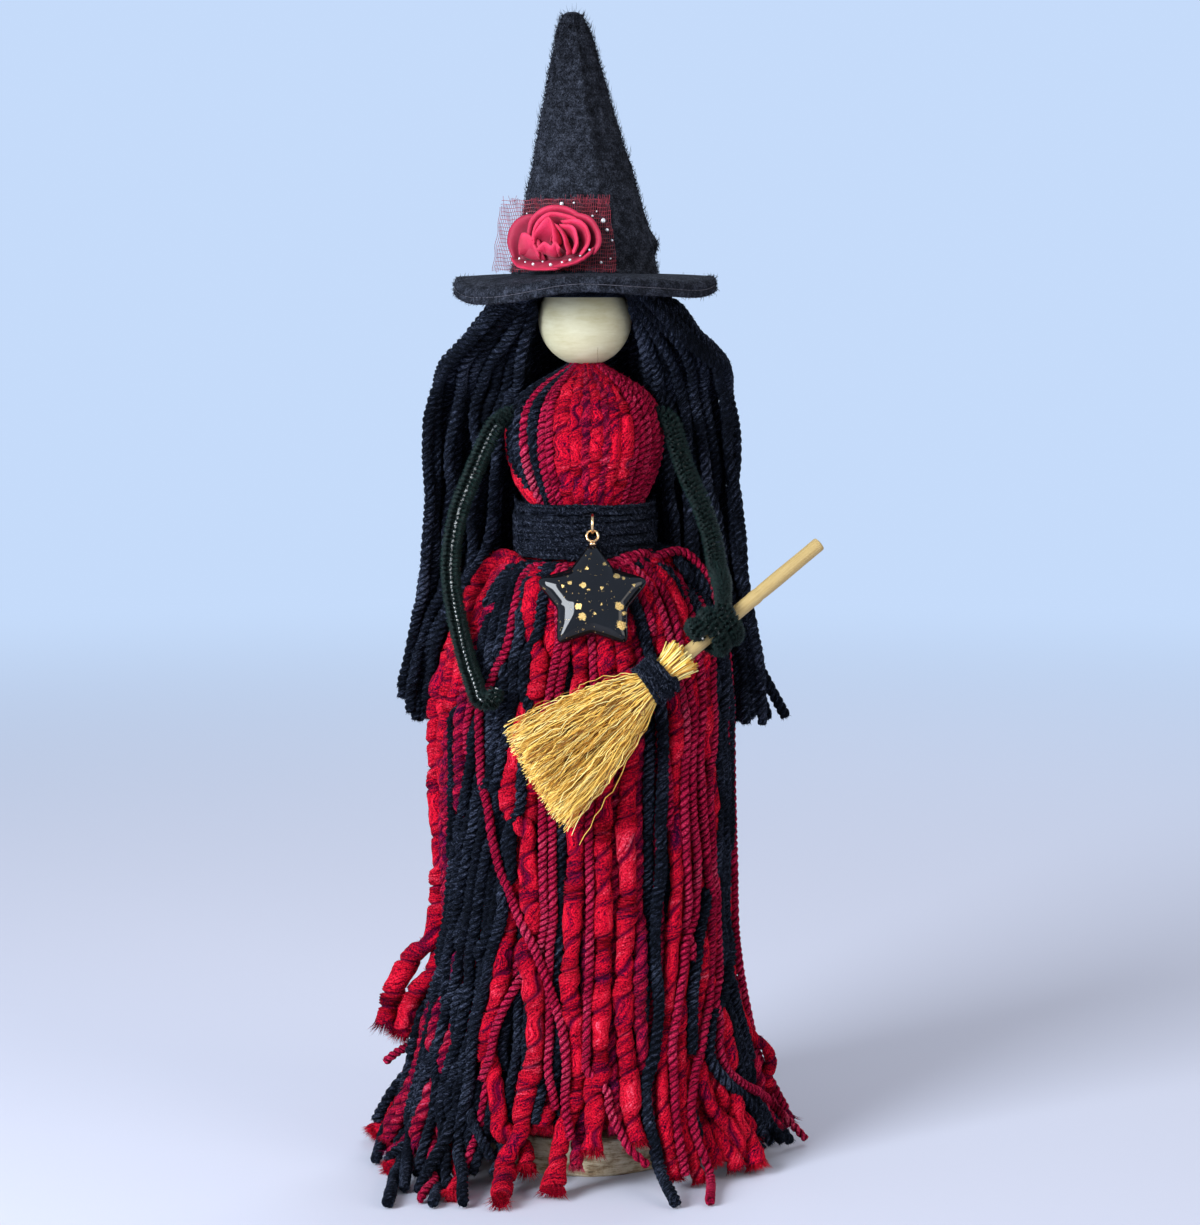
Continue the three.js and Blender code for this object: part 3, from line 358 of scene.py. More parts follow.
def spread_apart(routes, radii, levels, give, limits, rounds=10):
    """Push strands apart where they run into one another, the higher level outwards.
    The one that gives more moves more, and limits(z, turn) is the reach from the middle."""
    paths = [resample(route, 2.2)[0] for route in routes]
    owner = np.repeat(np.arange(len(paths)), [len(path) for path in paths])
    points = np.vstack(paths)
    radius, level, give = (np.asarray(row, float)[owner] for row in (radii, levels, give))
    order = np.concatenate([np.arange(len(path)) for path in paths])
    free = np.clip((order - 2) / 4, 0, 1)[:, None]
    same = np.concatenate([owner[1:] == owner[:-1], [False]])
    first = np.hypot(points[:, 0], points[:, 1])
    for _ in range(rounds):
        tree = KDTree(len(points))
        for i, point in enumerate(points):
            tree.insert(point, i)
        tree.balance()
        widest = radius.max()
        pairs = [(i, j) for i, point in enumerate(points)
                 for _, j, _ in tree.find_range(point, radius[i] + widest) if owner[j] > owner[i]]
        a, b = np.array(pairs).T
        between = points[a] - points[b]
        gap = np.linalg.norm(between, axis=1)[:, None] + 1e-6
        deep = np.maximum(0, (radius[a] + radius[b])[:, None] - gap)
        out = unit(points[a] * LEVEL, 1e-6)
        way = unit(between / gap + out * np.sign(level[a] - level[b])[:, None] * 1.1, 1e-6)
        push = np.zeros_like(points)
        part = (give[a] / (give[a] + give[b]))[:, None]
        np.add.at(push, a, way * deep * 0.6 * part)
        np.add.at(push, b, -way * deep * 0.6 * (1 - part))
        size = np.linalg.norm(push, axis=1)[:, None] + 1e-9
        push *= np.minimum(1, 0.9 / size)
        for _ in range(2):
            ahead = np.where(same[:, None], np.roll(push, -1, axis=0), push)
            behind = np.where(np.roll(same, 1)[:, None], np.roll(push, 1, axis=0), push)
            push = 0.25 * ahead + 0.5 * push + 0.25 * behind
        push[:, 2] *= 0.2
        points = points + push * free
        points[:, 2] = np.maximum(points[:, 2], radius * 0.95)
        turn = np.arctan2(points[:, 0], -points[:, 1])
        r = np.hypot(points[:, 0], points[:, 1])
        low, high = limits(points[:, 2], turn)
        high = high + 0.75 * np.minimum(0, level + 2.4)
        fit = np.clip(r, np.minimum(low + radius, first), np.maximum(high - radius + 0.3, first)) / r
        points[:, :2] *= fit[:, None]
    return [points[owner == k] for k in range(len(paths))]


# Materials
class Nodes:
    """A small helper that adds nodes and links to one material"""

    def __init__(self, name):
        self.mat = bpy.data.materials.new(name)
        self.mat.use_nodes = True
        self.tree = self.mat.node_tree
        self.shader = self.tree.nodes["Principled BSDF"]

    def add(self, kind, inputs=None, **settings):
        node = self.tree.nodes.new("ShaderNode" + kind)
        for key, value in settings.items():
            setattr(node, key, value)
        for key, value in (inputs or {}).items():
            self.put(node, key, value)
        return node

    def put(self, node, key, value):
        if isinstance(value, tuple) and len(value) == 2 and hasattr(value[0], "outputs"):
            self.tree.links.new(value[0].outputs[value[1]], node.inputs[key])
        elif hasattr(value, "outputs"):
            self.tree.links.new(value.outputs[0], node.inputs[key])
        else:
            node.inputs[key].default_value = value

    def set(self, **inputs):
        for key, value in inputs.items():
            self.put(self.shader, key.replace("_", " "), value)

    def place(self):
        return (self.add("TexCoord"), "Object")

    def strand(self):
        return (self.add("Attribute", attribute_name="strand"), "Vector")

    def math(self, operation, a, b=0.5):
        return self.add("Math", {0: a, 1: b}, operation=operation)

    def vector(self, operation, a, b=(0.0, 0.0, 0.0)):
        return self.add("VectorMath", {0: a, 1: b}, operation=operation)

    def blend(self, a, b, share):
        """The given share of a, and the rest of b"""
        return self.math("ADD", self.math("MULTIPLY", a, share), self.math("MULTIPLY", b, 1 - share))

    def away(self, value, by):
        """How far a value is from its middle, times a number"""
        return self.math("MULTIPLY", self.math("SUBTRACT", value, 0.5), by)

    def scale(self, vector, by):
        return self.vector("MULTIPLY", vector, by)

    def noise(self, vector, scale, detail, rough):
        return self.add("TexNoise", {"Vector": vector, "Scale": scale, "Detail": detail, "Roughness": rough})

    def stretched(self, vector, by, detail, rough):
        """Noise with its own scale along each axis"""
        return self.noise(self.scale(vector, by), 1.0, detail, rough)

    def ramp(self, value, stops):
        node = self.add("ValToRGB", {"Fac": value})
        ramp = node.color_ramp
        while len(ramp.elements) < len(stops):
            ramp.elements.new(0.5)
        for element, (place, color) in zip(ramp.elements, stops):
            element.position = place
            element.color = (*color, 1)
        return node

    def mix(self, factor, a, b):
        node = self.add("Mix", data_type="RGBA", blend_type="MIX")
        for key, value in ((0, factor), (6, a), (7, b)):
            if isinstance(value, tuple) and not hasattr(value[0], "outputs") and len(value) == 3:
                value = (*value, 1)
            self.put(node, key, value)
        return (node, 2)

    def bump(self, height, strength, distance, normal=None):
        inputs = {"Height": height, "Strength": strength, "Distance": distance}
        if normal is not None:
            inputs["Normal"] = normal
        return self.add("Bump", inputs)


def yarn_material(name, colors, patch, sheen, tint, groove, depth, streak, patch_scale=0.06,
                  fall=(-0.9, 0.3), fine_scale=2300.0, contrast=1.7, grain=0.45):
    """Wool: coloured patches along each strand, painted shade in the grooves between its plies, and fine
    fibres
    """
    m = Nodes(name)
    data, place = m.strand(), m.place()
    parts = m.add("SeparateXYZ", {0: data})
    cloud = m.stretched(data, (patch_scale, 0.35, 40.0), 4.0, 0.65)
    combed = m.stretched(data, streak, 3.0, 0.7)
    fine = m.noise(place, fine_scale, 2.0, 0.7)
    level = m.math("ADD", cloud, m.away(combed, patch))
    level = m.math("ADD", level, m.away(fine, grain))
    # Painted shade: where the ply phase is low, in the grooves between plies, the groove colour is mixed in
    # as far as depth
    painted_groove_shade = m.add("MapRange", {0: (parts, 1), 1: fall[0], 2: fall[1], 3: depth, 4: 0.0})
    shaded = m.mix(painted_groove_shade, m.ramp(level, colors), groove)
    fibre = m.blend(combed, fine, 0.5)
    dark = m.add("MapRange", {0: fibre, 1: 0.52, 2: 0.52 - 0.22 / contrast, 3: 0.0, 4: 0.9})
    speck = m.mix(dark, shaded, tuple(c * 0.25 for c in groove))
    m.set(Base_Color=speck, Roughness=0.95, Specular_IOR_Level=0.03, Sheen_Weight=sheen,
          Sheen_Roughness=0.4, Sheen_Tint=(*tint, 1))
    m.set(Normal=m.bump(combed, 1.0, 0.0012, m.bump(fine, 1.0, 0.0009)))
    return m.mat


NO_COLOR = (0.0, 0.0, 0.0)
# After each yarn's sheen tint come its groove colour and depth: painted shade in the grooves between its
# plies
BLACK = yarn_material(
    "black_wool", [(0.28, (0.001, 0.001, 0.002)), (0.46, (0.007, 0.009, 0.017)),
                   (0.6, (0.024, 0.031, 0.054)), (0.78, (0.1, 0.12, 0.19))],
    1.3, 0.05, (0.45, 0.6, 0.9), NO_COLOR, 0.9, (1.6, 2.4, 30.0))
CRIMSON = yarn_material(
    "crimson_twist", [(0.3, (0.26, 0.004, 0.032)), (0.46, (0.6, 0.008, 0.06)),
                      (0.62, (0.84, 0.03, 0.12)), (0.8, (0.9, 0.16, 0.26))],
    0.6, 0.03, (1.0, 0.4, 0.55), (0.02, 0.0, 0.008), 0.98, (2.2, 2.2, 30.0), contrast=1.4)
RED = yarn_material(
    "variegated_red", [(0.27, (0.03, 0.002, 0.035)), (0.36, (0.17, 0.003, 0.045)), (0.43, (0.5, 0.003, 0.03)),
                       (0.52, (0.86, 0.005, 0.03)), (0.68, (0.95, 0.02, 0.06)), (0.82, (0.9, 0.2, 0.3))],
    0.6, 0.04, (1.0, 0.35, 0.42), (0.08, 0.001, 0.035), 0.95, (0.7, 5.0, 30.0),
    patch_scale=0.12, fall=(-1.0, -0.55), grain=0.6)
WINE = yarn_material(
    "variegated_wine", [(0.3, (0.03, 0.003, 0.04)), (0.42, (0.17, 0.004, 0.055)), (0.52, (0.5, 0.006, 0.045)),
                        (0.66, (0.76, 0.014, 0.06)), (0.82, (0.5, 0.12, 0.22))],
    0.7, 0.04, (1.0, 0.4, 0.5), (0.05, 0.001, 0.025), 0.9, (0.7, 3.5, 30.0), patch_scale=0.15, grain=0.6)
BAND = yarn_material(
    "band_wool", [(0.3, (0.001, 0.001, 0.002)), (0.47, (0.008, 0.010, 0.018)),
                  (0.62, (0.03, 0.037, 0.06)), (0.8, (0.13, 0.15, 0.22))],
    1.8, 0.06, (0.45, 0.6, 0.9), NO_COLOR, 0.7, (1.2, 2.5, 30.0), fine_scale=1500.0)


def felt_material():
    m = Nodes("black_felt")
    place = m.place()
    coarse = m.noise(place, 420.0, 5.0, 0.7)
    fine = m.noise(place, 2400.0, 3.0, 0.7)
    warp = m.vector("ADD", place, m.scale((coarse, 1), (0.004, 0.004, 0.004)))
    fibres = m.add("TexWave", {"Vector": warp, "Scale": 330.0, "Distortion": 9.0, "Detail": 3.0,
                               "Detail Scale": 2.0}, bands_direction="DIAGONAL")
    color = m.ramp(m.blend(coarse, fine, 0.48),
                   [(0.36, (0.003, 0.003, 0.004)), (0.48, (0.014, 0.016, 0.022)),
                    (0.58, (0.045, 0.051, 0.071)), (0.7, (0.11, 0.12, 0.155))])
    m.set(Base_Color=color, Roughness=0.97, Specular_IOR_Level=0.04, Sheen_Weight=0.02,
          Sheen_Roughness=0.4, Sheen_Tint=(0.6, 0.65, 0.8, 1))
    m.set(Normal=m.bump(fibres, 0.5, 0.0003, m.bump(coarse, 0.8, 0.0009, m.bump(fine, 0.6, 0.0003))))
    return m.mat


def wood_material(name, light, dark, axis_scale, rough=0.55):
    m = Nodes(name)
    vector = m.scale(m.place(), axis_scale)
    grain = m.noise(vector, 1.0, 6.0, 0.62)
    lines = m.noise(vector, 4.0, 3.0, 0.6)
    half = tuple((a + b) / 2 for a, b in zip(light, dark))
    color = m.ramp(m.blend(grain, lines, 0.6), [(0.32, dark), (0.5, half), (0.62, light)])
    m.set(Base_Color=color, Roughness=rough, Specular_IOR_Level=0.3)
    m.set(Normal=m.bump(lines, 0.25, 0.0002))
    return m.mat


def head_material():
    """Turned wood with fine pores, and one thin crack from the bore up the front"""
    m = Nodes("bead_wood")
    place = m.place()
    grain = m.stretched(place, (110.0, 110.0, 300.0), 5.0, 0.6)
    pores = m.stretched(place, (300.0, 300.0, 1500.0), 2.0, 0.6)
    parts = m.add("SeparateXYZ", {0: place})
    wander = m.stretched(place, (0.0, 0.0, 260.0), 3.0, 0.6)
    line = m.math("ADD", (parts, 0), m.math("MULTIPLY", wander, 0.0016))
    gap = m.math("ABSOLUTE", m.math("SUBTRACT", line, 0.0042))
    crack = m.math("LESS_THAN", gap, 0.00006)
    low = m.math("LESS_THAN", (parts, 2), 0.2192)
    front = m.math("LESS_THAN", (parts, 1), 0.0)
    crack = m.math("MULTIPLY", m.math("MULTIPLY", crack, low), front)
    color = m.ramp(m.blend(grain, pores, 0.7),
                   [(0.34, (0.54, 0.49, 0.29)), (0.5, (0.61, 0.57, 0.37)), (0.66, (0.67, 0.64, 0.45))])
    m.set(Base_Color=m.mix(crack, color, (0.34, 0.28, 0.15)), Roughness=0.5, Specular_IOR_Level=0.35)
    m.set(Normal=m.bump(m.math("SUBTRACT", grain, m.math("MULTIPLY", crack, 1.5)), 0.2, 0.0002))
    return m.mat


def bark_material():
    m = Nodes("birch_bark")
    place = m.place()
    streak = m.stretched(place, (150.0, 150.0, 900.0), 5.0, 0.7)
    patches = m.noise(place, 190.0, 4.0, 0.65)
    color = m.ramp(m.blend(streak, patches, 0.55),
                   [(0.36, (0.09, 0.06, 0.035)), (0.44, (0.34, 0.24, 0.14)), (0.52, (0.62, 0.52, 0.36)),
                    (0.66, (0.8, 0.74, 0.6))])
    m.set(Base_Color=color, Roughness=0.85, Specular_IOR_Level=0.2)
    m.set(Normal=m.bump(streak, 0.7, 0.0007, m.bump(patches, 0.6, 0.0011)))
    return m.mat


def sawn_material():
    """Sawn end grain with year rings"""
    m = Nodes("birch_face")
    place = m.place()
    parts = m.add("SeparateXYZ", {0: place})
    flat = m.add("CombineXYZ", {0: (parts, 0), 1: (parts, 1)})
    wobble = m.noise(flat, 90.0, 3.0, 0.6)
    reach = m.vector("LENGTH", flat)
    ring = m.math("ADD", (reach, "Value"), m.math("MULTIPLY", wobble, 0.004))
    rings = m.math("SINE", m.math("MULTIPLY", ring, 3400.0))
    saw = m.stretched(place, (60.0, 1500.0, 60.0), 3.0, 0.6)
    level = m.math("ADD", m.math("MULTIPLY", rings, 0.22), m.math("ADD", m.math("MULTIPLY", saw, 0.4), 0.3))
    color = m.ramp(level, [(0.25, (0.42, 0.28, 0.14)), (0.5, (0.62, 0.48, 0.29)), (0.72, (0.72, 0.6, 0.4))])
    m.set(Base_Color=color, Roughness=0.8, Specular_IOR_Level=0.2)
    m.set(Normal=m.bump(saw, 0.35, 0.0003))
    return m.mat


def foam_material():
    """Craft foam, with painted shade deep between the petals"""
    m = Nodes("rose_foam")
    place = m.place()
    fine = m.noise(place, 3200.0, 3.0, 0.6)
    soft = m.noise(place, 260.0, 3.0, 0.5)
    color = m.ramp(m.blend(soft, fine, 0.75),
                   [(0.35, (0.44, 0.008, 0.045)), (0.55, (0.6, 0.016, 0.075)), (0.72, (0.7, 0.035, 0.11))])
    data = m.add("SeparateXYZ", {0: m.strand()})
    # Painted shade: what lies low in the rose's face, deep between the petals, is mixed toward a dark red
    deep = m.add("MapRange", {0: (data, 1), 1: 4.6, 2: 1.6, 3: 0.0, 4: 0.85})
    m.set(Base_Color=m.mix(deep, color, (0.1, 0.0, 0.012)), Roughness=0.62, Specular_IOR_Level=0.3,
          Subsurface_Weight=0.04, Subsurface_Radius=(0.004, 0.001, 0.001), Sheen_Weight=0.1,
          Sheen_Roughness=0.5)
    m.set(Normal=m.bump(fine, 0.3, 0.00015))
    return m.mat


# Gold flakes in the star: right, up and reach, in millimetres
FLAKES = [(3.2, 8.6, 0.45), (6.4, 5.2, 0.8), (8.2, 4.6, 0.45), (-1.4, 7.0, 0.45), (-5.8, 3.2, 0.5),
          (-2.4, 2.6, 0.75), (-1.0, 1.2, 0.35), (2.4, 1.6, 0.45), (7.0, -3.0, 1.05), (8.3, -4.6, 0.6),
          (-3.6, -3.2, 0.8), (-2.6, -6.0, 0.95), (7.6, -7.9, 1.25), (2.4, -2.6, 0.3), (-7.6, 2.4, 0.35),
          (10.8, 2.8, 0.4), (0.6, -5.2, 0.3)]


def resin_material():
    """Black resin under a clear skin, with gold flakes at set places and fine specks"""
    m = Nodes("star_resin")
    parts = m.add("SeparateXYZ", {0: m.strand()})
    plane = m.add("CombineXYZ", {0: (parts, 0), 1: (parts, 1)})
    ragged = m.noise(plane, 1.3, 4.0, 0.75)
    shift = m.scale(m.vector("SUBTRACT", (ragged, 1), (0.5, 0.5, 0.5)), (1.9, 1.9, 0.0))
    torn = m.vector("ADD", plane, shift)
    mask = None
    for x, y, reach in FLAKES:
        near = m.vector("DISTANCE", torn, (x, y, 0.0))
        flake = m.math("LESS_THAN", (near, "Value"), reach)
        mask = flake if mask is None else m.math("MAXIMUM", mask, flake)
    cells = m.add("TexVoronoi", {"Vector": torn, "Scale": 1.15, "Randomness": 1.0})
    mask = m.math("MAXIMUM", mask, m.math("LESS_THAN", (cells, 0), 0.11))
    mask = m.math("MULTIPLY", mask, m.math("GREATER_THAN", (parts, 2), 0.5))
    crumple = m.noise(plane, 3.5, 3.0, 0.7)
    gold = m.ramp(crumple, [(0.35, (0.32, 0.17, 0.04)), (0.5, (0.72, 0.46, 0.14)), (0.68, (0.95, 0.76, 0.4))])
    m.set(Base_Color=m.mix(mask, (0.004, 0.004, 0.005), gold), Metallic=m.math("MULTIPLY", mask, 0.9),
          Roughness=m.math("ADD", 0.05, m.math("MULTIPLY", mask, 0.3)), IOR=1.38)
    m.set(Normal=m.bump(m.math("MULTIPLY", crumple, mask), 0.5, 0.0003))
    return m.mat


def pile_material():
    """Chenille pile, with painted shade at its roots and at the sides of each rib"""
    m = Nodes("chenille_pile")
    data = m.add("SeparateXYZ", {0: m.strand()})
    # Painted shade: dark at the roots by the height along each fibre, and darker at a rib's sides
    color = m.ramp((data, 1), [(0.0, (0.0, 0.001, 0.001)), (0.55, (0.001, 0.005, 0.004)),
                               (1.0, (0.006, 0.026, 0.023))])
    shade = m.mix(m.math("MULTIPLY", (data, 2), 0.95), color, (0.0, 0.001, 0.001))
    m.set(Base_Color=shade, Roughness=0.5, Specular_IOR_Level=0.2, Sheen_Weight=0.08,
          Sheen_Roughness=0.35, Sheen_Tint=(0.3, 0.7, 0.6, 1))
    return m.mat


def bristle_material():
    m = Nodes("bristle_fibre")
    data = m.add("SeparateXYZ", {0: m.strand()})
    vary = m.stretched(m.strand(), (0.12, 0.0, 60.0), 3.0, 0.6)
    # Bristles with a low seed come out darker, and the fan gives its inner bristles low seeds: painted shade
    # inside the fan
    color = m.ramp(m.blend(vary, (data, 2), 0.6),
                   [(0.28, (0.16, 0.05, 0.006)), (0.4, (0.66, 0.32, 0.04)), (0.5, (1.0, 0.66, 0.13)),
                    (0.7, (1.0, 0.9, 0.4))])
    m.set(Base_Color=color, Roughness=0.5, Specular_IOR_Level=0.4)
    return m.mat


def bamboo_material():
    m = Nodes("split_bamboo")
    data = m.strand()
    grain = m.stretched(data, (0.05, 9.0, 1.0), 4.0, 0.6)
    fine = m.stretched(data, (0.3, 30.0, 1.0), 3.0, 0.6)
    color = m.ramp(m.blend(grain, fine, 0.55),
                   [(0.34, (0.35, 0.22, 0.075)), (0.48, (0.47, 0.33, 0.125)), (0.66, (0.57, 0.43, 0.2))])
    m.set(Base_Color=color, Roughness=0.42, Specular_IOR_Level=0.4)
    m.set(Normal=m.bump(fine, 0.3, 0.0003))
    return m.mat


def speckled_material(name, scale, detail, rough, stops, base, worn=0.0, **looks):
    """Fine specks between two colours. Base is the roughness, and worn is what the specks add to it"""
    m = Nodes(name)
    wear = m.noise(m.place(), scale, detail, rough)
    shine = m.math("ADD", base, m.math("MULTIPLY", wear, worn)) if worn else base
    m.set(Base_Color=m.ramp(wear, stops), Roughness=shine, **looks)
    return m.mat


FELT = felt_material()
DOWEL_WOOD = wood_material("dowel_wood", (0.78, 0.65, 0.43), (0.55, 0.4, 0.22), (420.0, 420.0, 26.0))
BALL_WOOD = wood_material("ball_wood", (0.76, 0.62, 0.4), (0.56, 0.42, 0.24), (300.0, 300.0, 30.0))
SEAM = wood_material("seam_thread", (0.13, 0.13, 0.165), (0.03, 0.03, 0.04), (900.0, 900.0, 900.0), rough=0.8)
HEAD_WOOD = head_material()
BARK = bark_material()
SAWN = sawn_material()
FOAM = foam_material()
RESIN = resin_material()
PILE = pile_material()
BRISTLE = bristle_material()
BAMBOO = bamboo_material()
GOLD = speckled_material("gold_finding", 1800.0, 3.0, 0.6,
                         [(0.35, (0.66, 0.38, 0.16)), (0.65, (0.9, 0.62, 0.34))], 0.16, 0.12, Metallic=1.0)
WIRE = speckled_material("core_wire", 2400.0, 2.0, 0.6,
                         [(0.35, (0.55, 0.57, 0.55)), (0.65, (0.85, 0.86, 0.84))], 0.2, 0.12, Metallic=0.45)
NET = speckled_material("net_thread", 900.0, 2.0, 0.5,
                        [(0.3, (0.1, 0.004, 0.012)), (0.7, (0.26, 0.012, 0.03))], 0.5, Specular_IOR_Level=0.4)
GLITTER = speckled_material("silver_glitter", 2600.0, 2.0, 0.5,
                            [(0.3, (0.7, 0.72, 0.75)), (0.7, (0.95, 0.95, 0.97))], 0.25, Metallic=0.35)


# Yarn strands
YARN = {
    "black": dict(material=BLACK, slot="black_yarn", radius=1.62, sides=12, plies=3, twist=2.1, groove=0.34,
                  step=0.62, fuzz=380, reach=1.6, lumps=0.08, brush=40),
    "crimson": dict(material=CRIMSON, slot="crimson_yarn", radius=1.3, sides=8, plies=2, twist=1.8,
                    groove=0.34, step=0.4, fuzz=170, reach=1.2, lumps=0.04, brush=26),
    "red": dict(material=RED, slot="red_yarn", radius=2.3, sides=12, plies=1, twist=8.2, groove=0.36,
                step=0.7, fuzz=850, reach=2.0, lumps=0.2, brush=220),
    "wine": dict(material=WINE, slot="red_yarn", radius=2.0, sides=12, plies=2, twist=3.4, groove=0.3,
                 step=0.7, fuzz=550, reach=1.8, lumps=0.15, brush=80),
}


def strand(parts, rng, route, kind, radius, step=None, ends=True):
    """A strand of yarn with its plies, lumps, fuzz and, if it ends in sight, a brushed end"""
    y = YARN[kind]
    path, s = resample(route, step or y["step"])
    lumps = Wave(rng, 26.0, 4)(s)
    thick = radius * (1 + y["lumps"] * lumps)
    fluffy = kind in ("red", "wine")
    left = s[-1] - s
    thick = thick * np.clip(0.72 + s / 3.2, 0, 1)
    thick = thick * (1 + 0.22 * np.exp(-left / 4) if fluffy and ends else np.clip(0.85 + left / 5, 0, 1))
    twist = y["twist"] * rng.uniform(0.92, 1.1)
    slip = 0.5 * twist * Wave(rng, 34.0, 3)(s)
    seed = rng.uniform(0, 1)
    tube(parts, path, thick, y["sides"], y["plies"], twist, y["groove"], seed,
         s=s + slip + rng.uniform(0, 400), thin=kind == "red")
    fuzz(parts, rng, path, thick, int(y["fuzz"] * s[-1] / 150), y["reach"], seed)
    if ends and len(path) > 8:
        length, flare = (radius * 1.5, 0.6) if fluffy else (radius * 1.1, 0.25)
        brush(parts, rng, path[-1], path[-1] - path[-5], thick[-1], y["brush"], length, flare, seed)


groups = {}


def group(node, kind):
    return groups.setdefault((node, kind), Parts())


# Hair: strands lie over the crown and fall outside the shoulders
# Share of the height, and the turn in degrees where the hair starts beside the face
FRONT_RIGHT = [(0.77, 97), (0.8, 90), (0.853, 72), (0.912, 58), (1, 50)]
FRONT_LEFT = [(0.77, 97), (0.8, 91), (0.853, 77), (0.912, 70), (1, 63)]


def hair_route(way, front, f, depth, end, rng, flare, kick):
    """From the crown down: f is the share of the way from the face round to the back"""
    wander = Wave(rng, 130.0, 4)
    sink = Wave(rng, 90.0, 3)
    rows = [[6.0 * way, -2 + 6 * f, 240.0], [11.5 * way * math.sin(math.pi * (0.4 + 0.5 * f)),
                                           -11.5 * math.cos(math.pi * (0.35 + 0.6 * f)) * 0.9, 237.4]]
    heights = np.concatenate([[HAIR_TOP - 1.4], np.arange(HAIR_TOP - 6, end + 5, -7.0), [end]])
    for z in heights:
        share = (z - HAIR_BOTTOM) / (HAIR_TOP - HAIR_BOTTOM)
        start = math.radians(along(front, share))
        turn = way * (start + (math.pi - start) * f)
        inner, outer = float(hair_inner(z, turn)), float(hair_outer(z, turn))
        low, high = inner + 1.7, outer - 1.6
        if share > 0.9:
            low, high = inner + 1.2, outer - 1.2
        r = high + (low - high) * np.clip(depth + (0.04 + 0.1 * min(1, depth * 3)) * sink(z), 0, 1)
        if way > 0:
            r -= 2.0 * math.sin(turn) ** 2 * min(1.0, (1 - share) * 3)
        fall = max(0.0, 1 - share * 1.6)
        r += flare * fall ** 2 + kick * max(0.0, 1 - (z - end) / 24) ** 1.4
        turn += 2.3 * wander(z) * (1 - share) ** 0.6 / max(r, 12)
        rows.append(spot(r, turn, z))
    return rows


def make_hair():
    rng = np.random.default_rng(11)
    laid = []
    for label, way, front in (("right", 1, FRONT_RIGHT), ("left", -1, FRONT_LEFT)):
        for depth, count in ((0.03, 25), (0.36, 21), (0.68, 17), (0.97, 14)):
            for i in range(count):
                f = (i + 0.5 + rng.uniform(-0.25, 0.25)) / count
                end = HAIR_BOTTOM + abs(rng.normal(0, 6.0)) + 1.0
                spread, kick = rng.uniform(-1.0, 3.0) * (f < 0.45), rng.uniform(-1.0, 3.0)
                if f < 0.62 and depth < 0.1:
                    end = HAIR_BOTTOM + rng.uniform(-1, 14)
                    spread, kick = rng.uniform(-0.5, 4.5), rng.uniform(-2.0, 8.5)
                node = f"hair_{label}_{min(4, int(f * 5)) + 1}"
                route = hair_route(way, front, f, depth, end, rng, spread, kick)
                laid.append((node, rng.uniform(1.5, 1.72), depth, route))

    def limits(z, turn):
        return hair_inner(z, turn), hair_outer(z, turn)

    routes = spread_apart([row[3] for row in laid], [row[1] for row in laid], [-row[2] for row in laid],
                          [1.0] * len(laid), limits, rounds=4)
    for (node, radius, _, _), path in zip(laid, routes):
        strand(group(node, "black"), rng, path, "black", radius=radius)


make_hair()


# Skirt: a point of the picture laid on the skirt, or on the floor where the strand reaches it
FLOOR_FRONT = -55.8


def on_skirt(px, py, lift, radius):
    y = -30.0
    for _ in range(14):
        point = at_depth(px, py, y)
        x, z = point[0], max(0.0, point[2])
        turn = math.atan2(x, -y)
        reach = float(skirt_radius(min(z, SKIRT_TOP), turn)) + lift
        new = -math.sqrt(max(reach * reach - x * x, 0.0))
        y = 0.5 * y + 0.5 * new
    if point[2] < radius:
        point = on_floor(px, py, radius)
        point[1] = max(point[1], FLOOR_FRONT)
    return point


def traced(table):
    """Rows of kind, radius, lift and places, from plain text"""
    rows = [row.split() for row in table.split(";")]
    return [(kind, float(radius), float(lift), places_in(places)) for kind, radius, lift, *places in rows]


def places_in(words):
    return [tuple(float(number) for number in word.split(",")) for word in words]
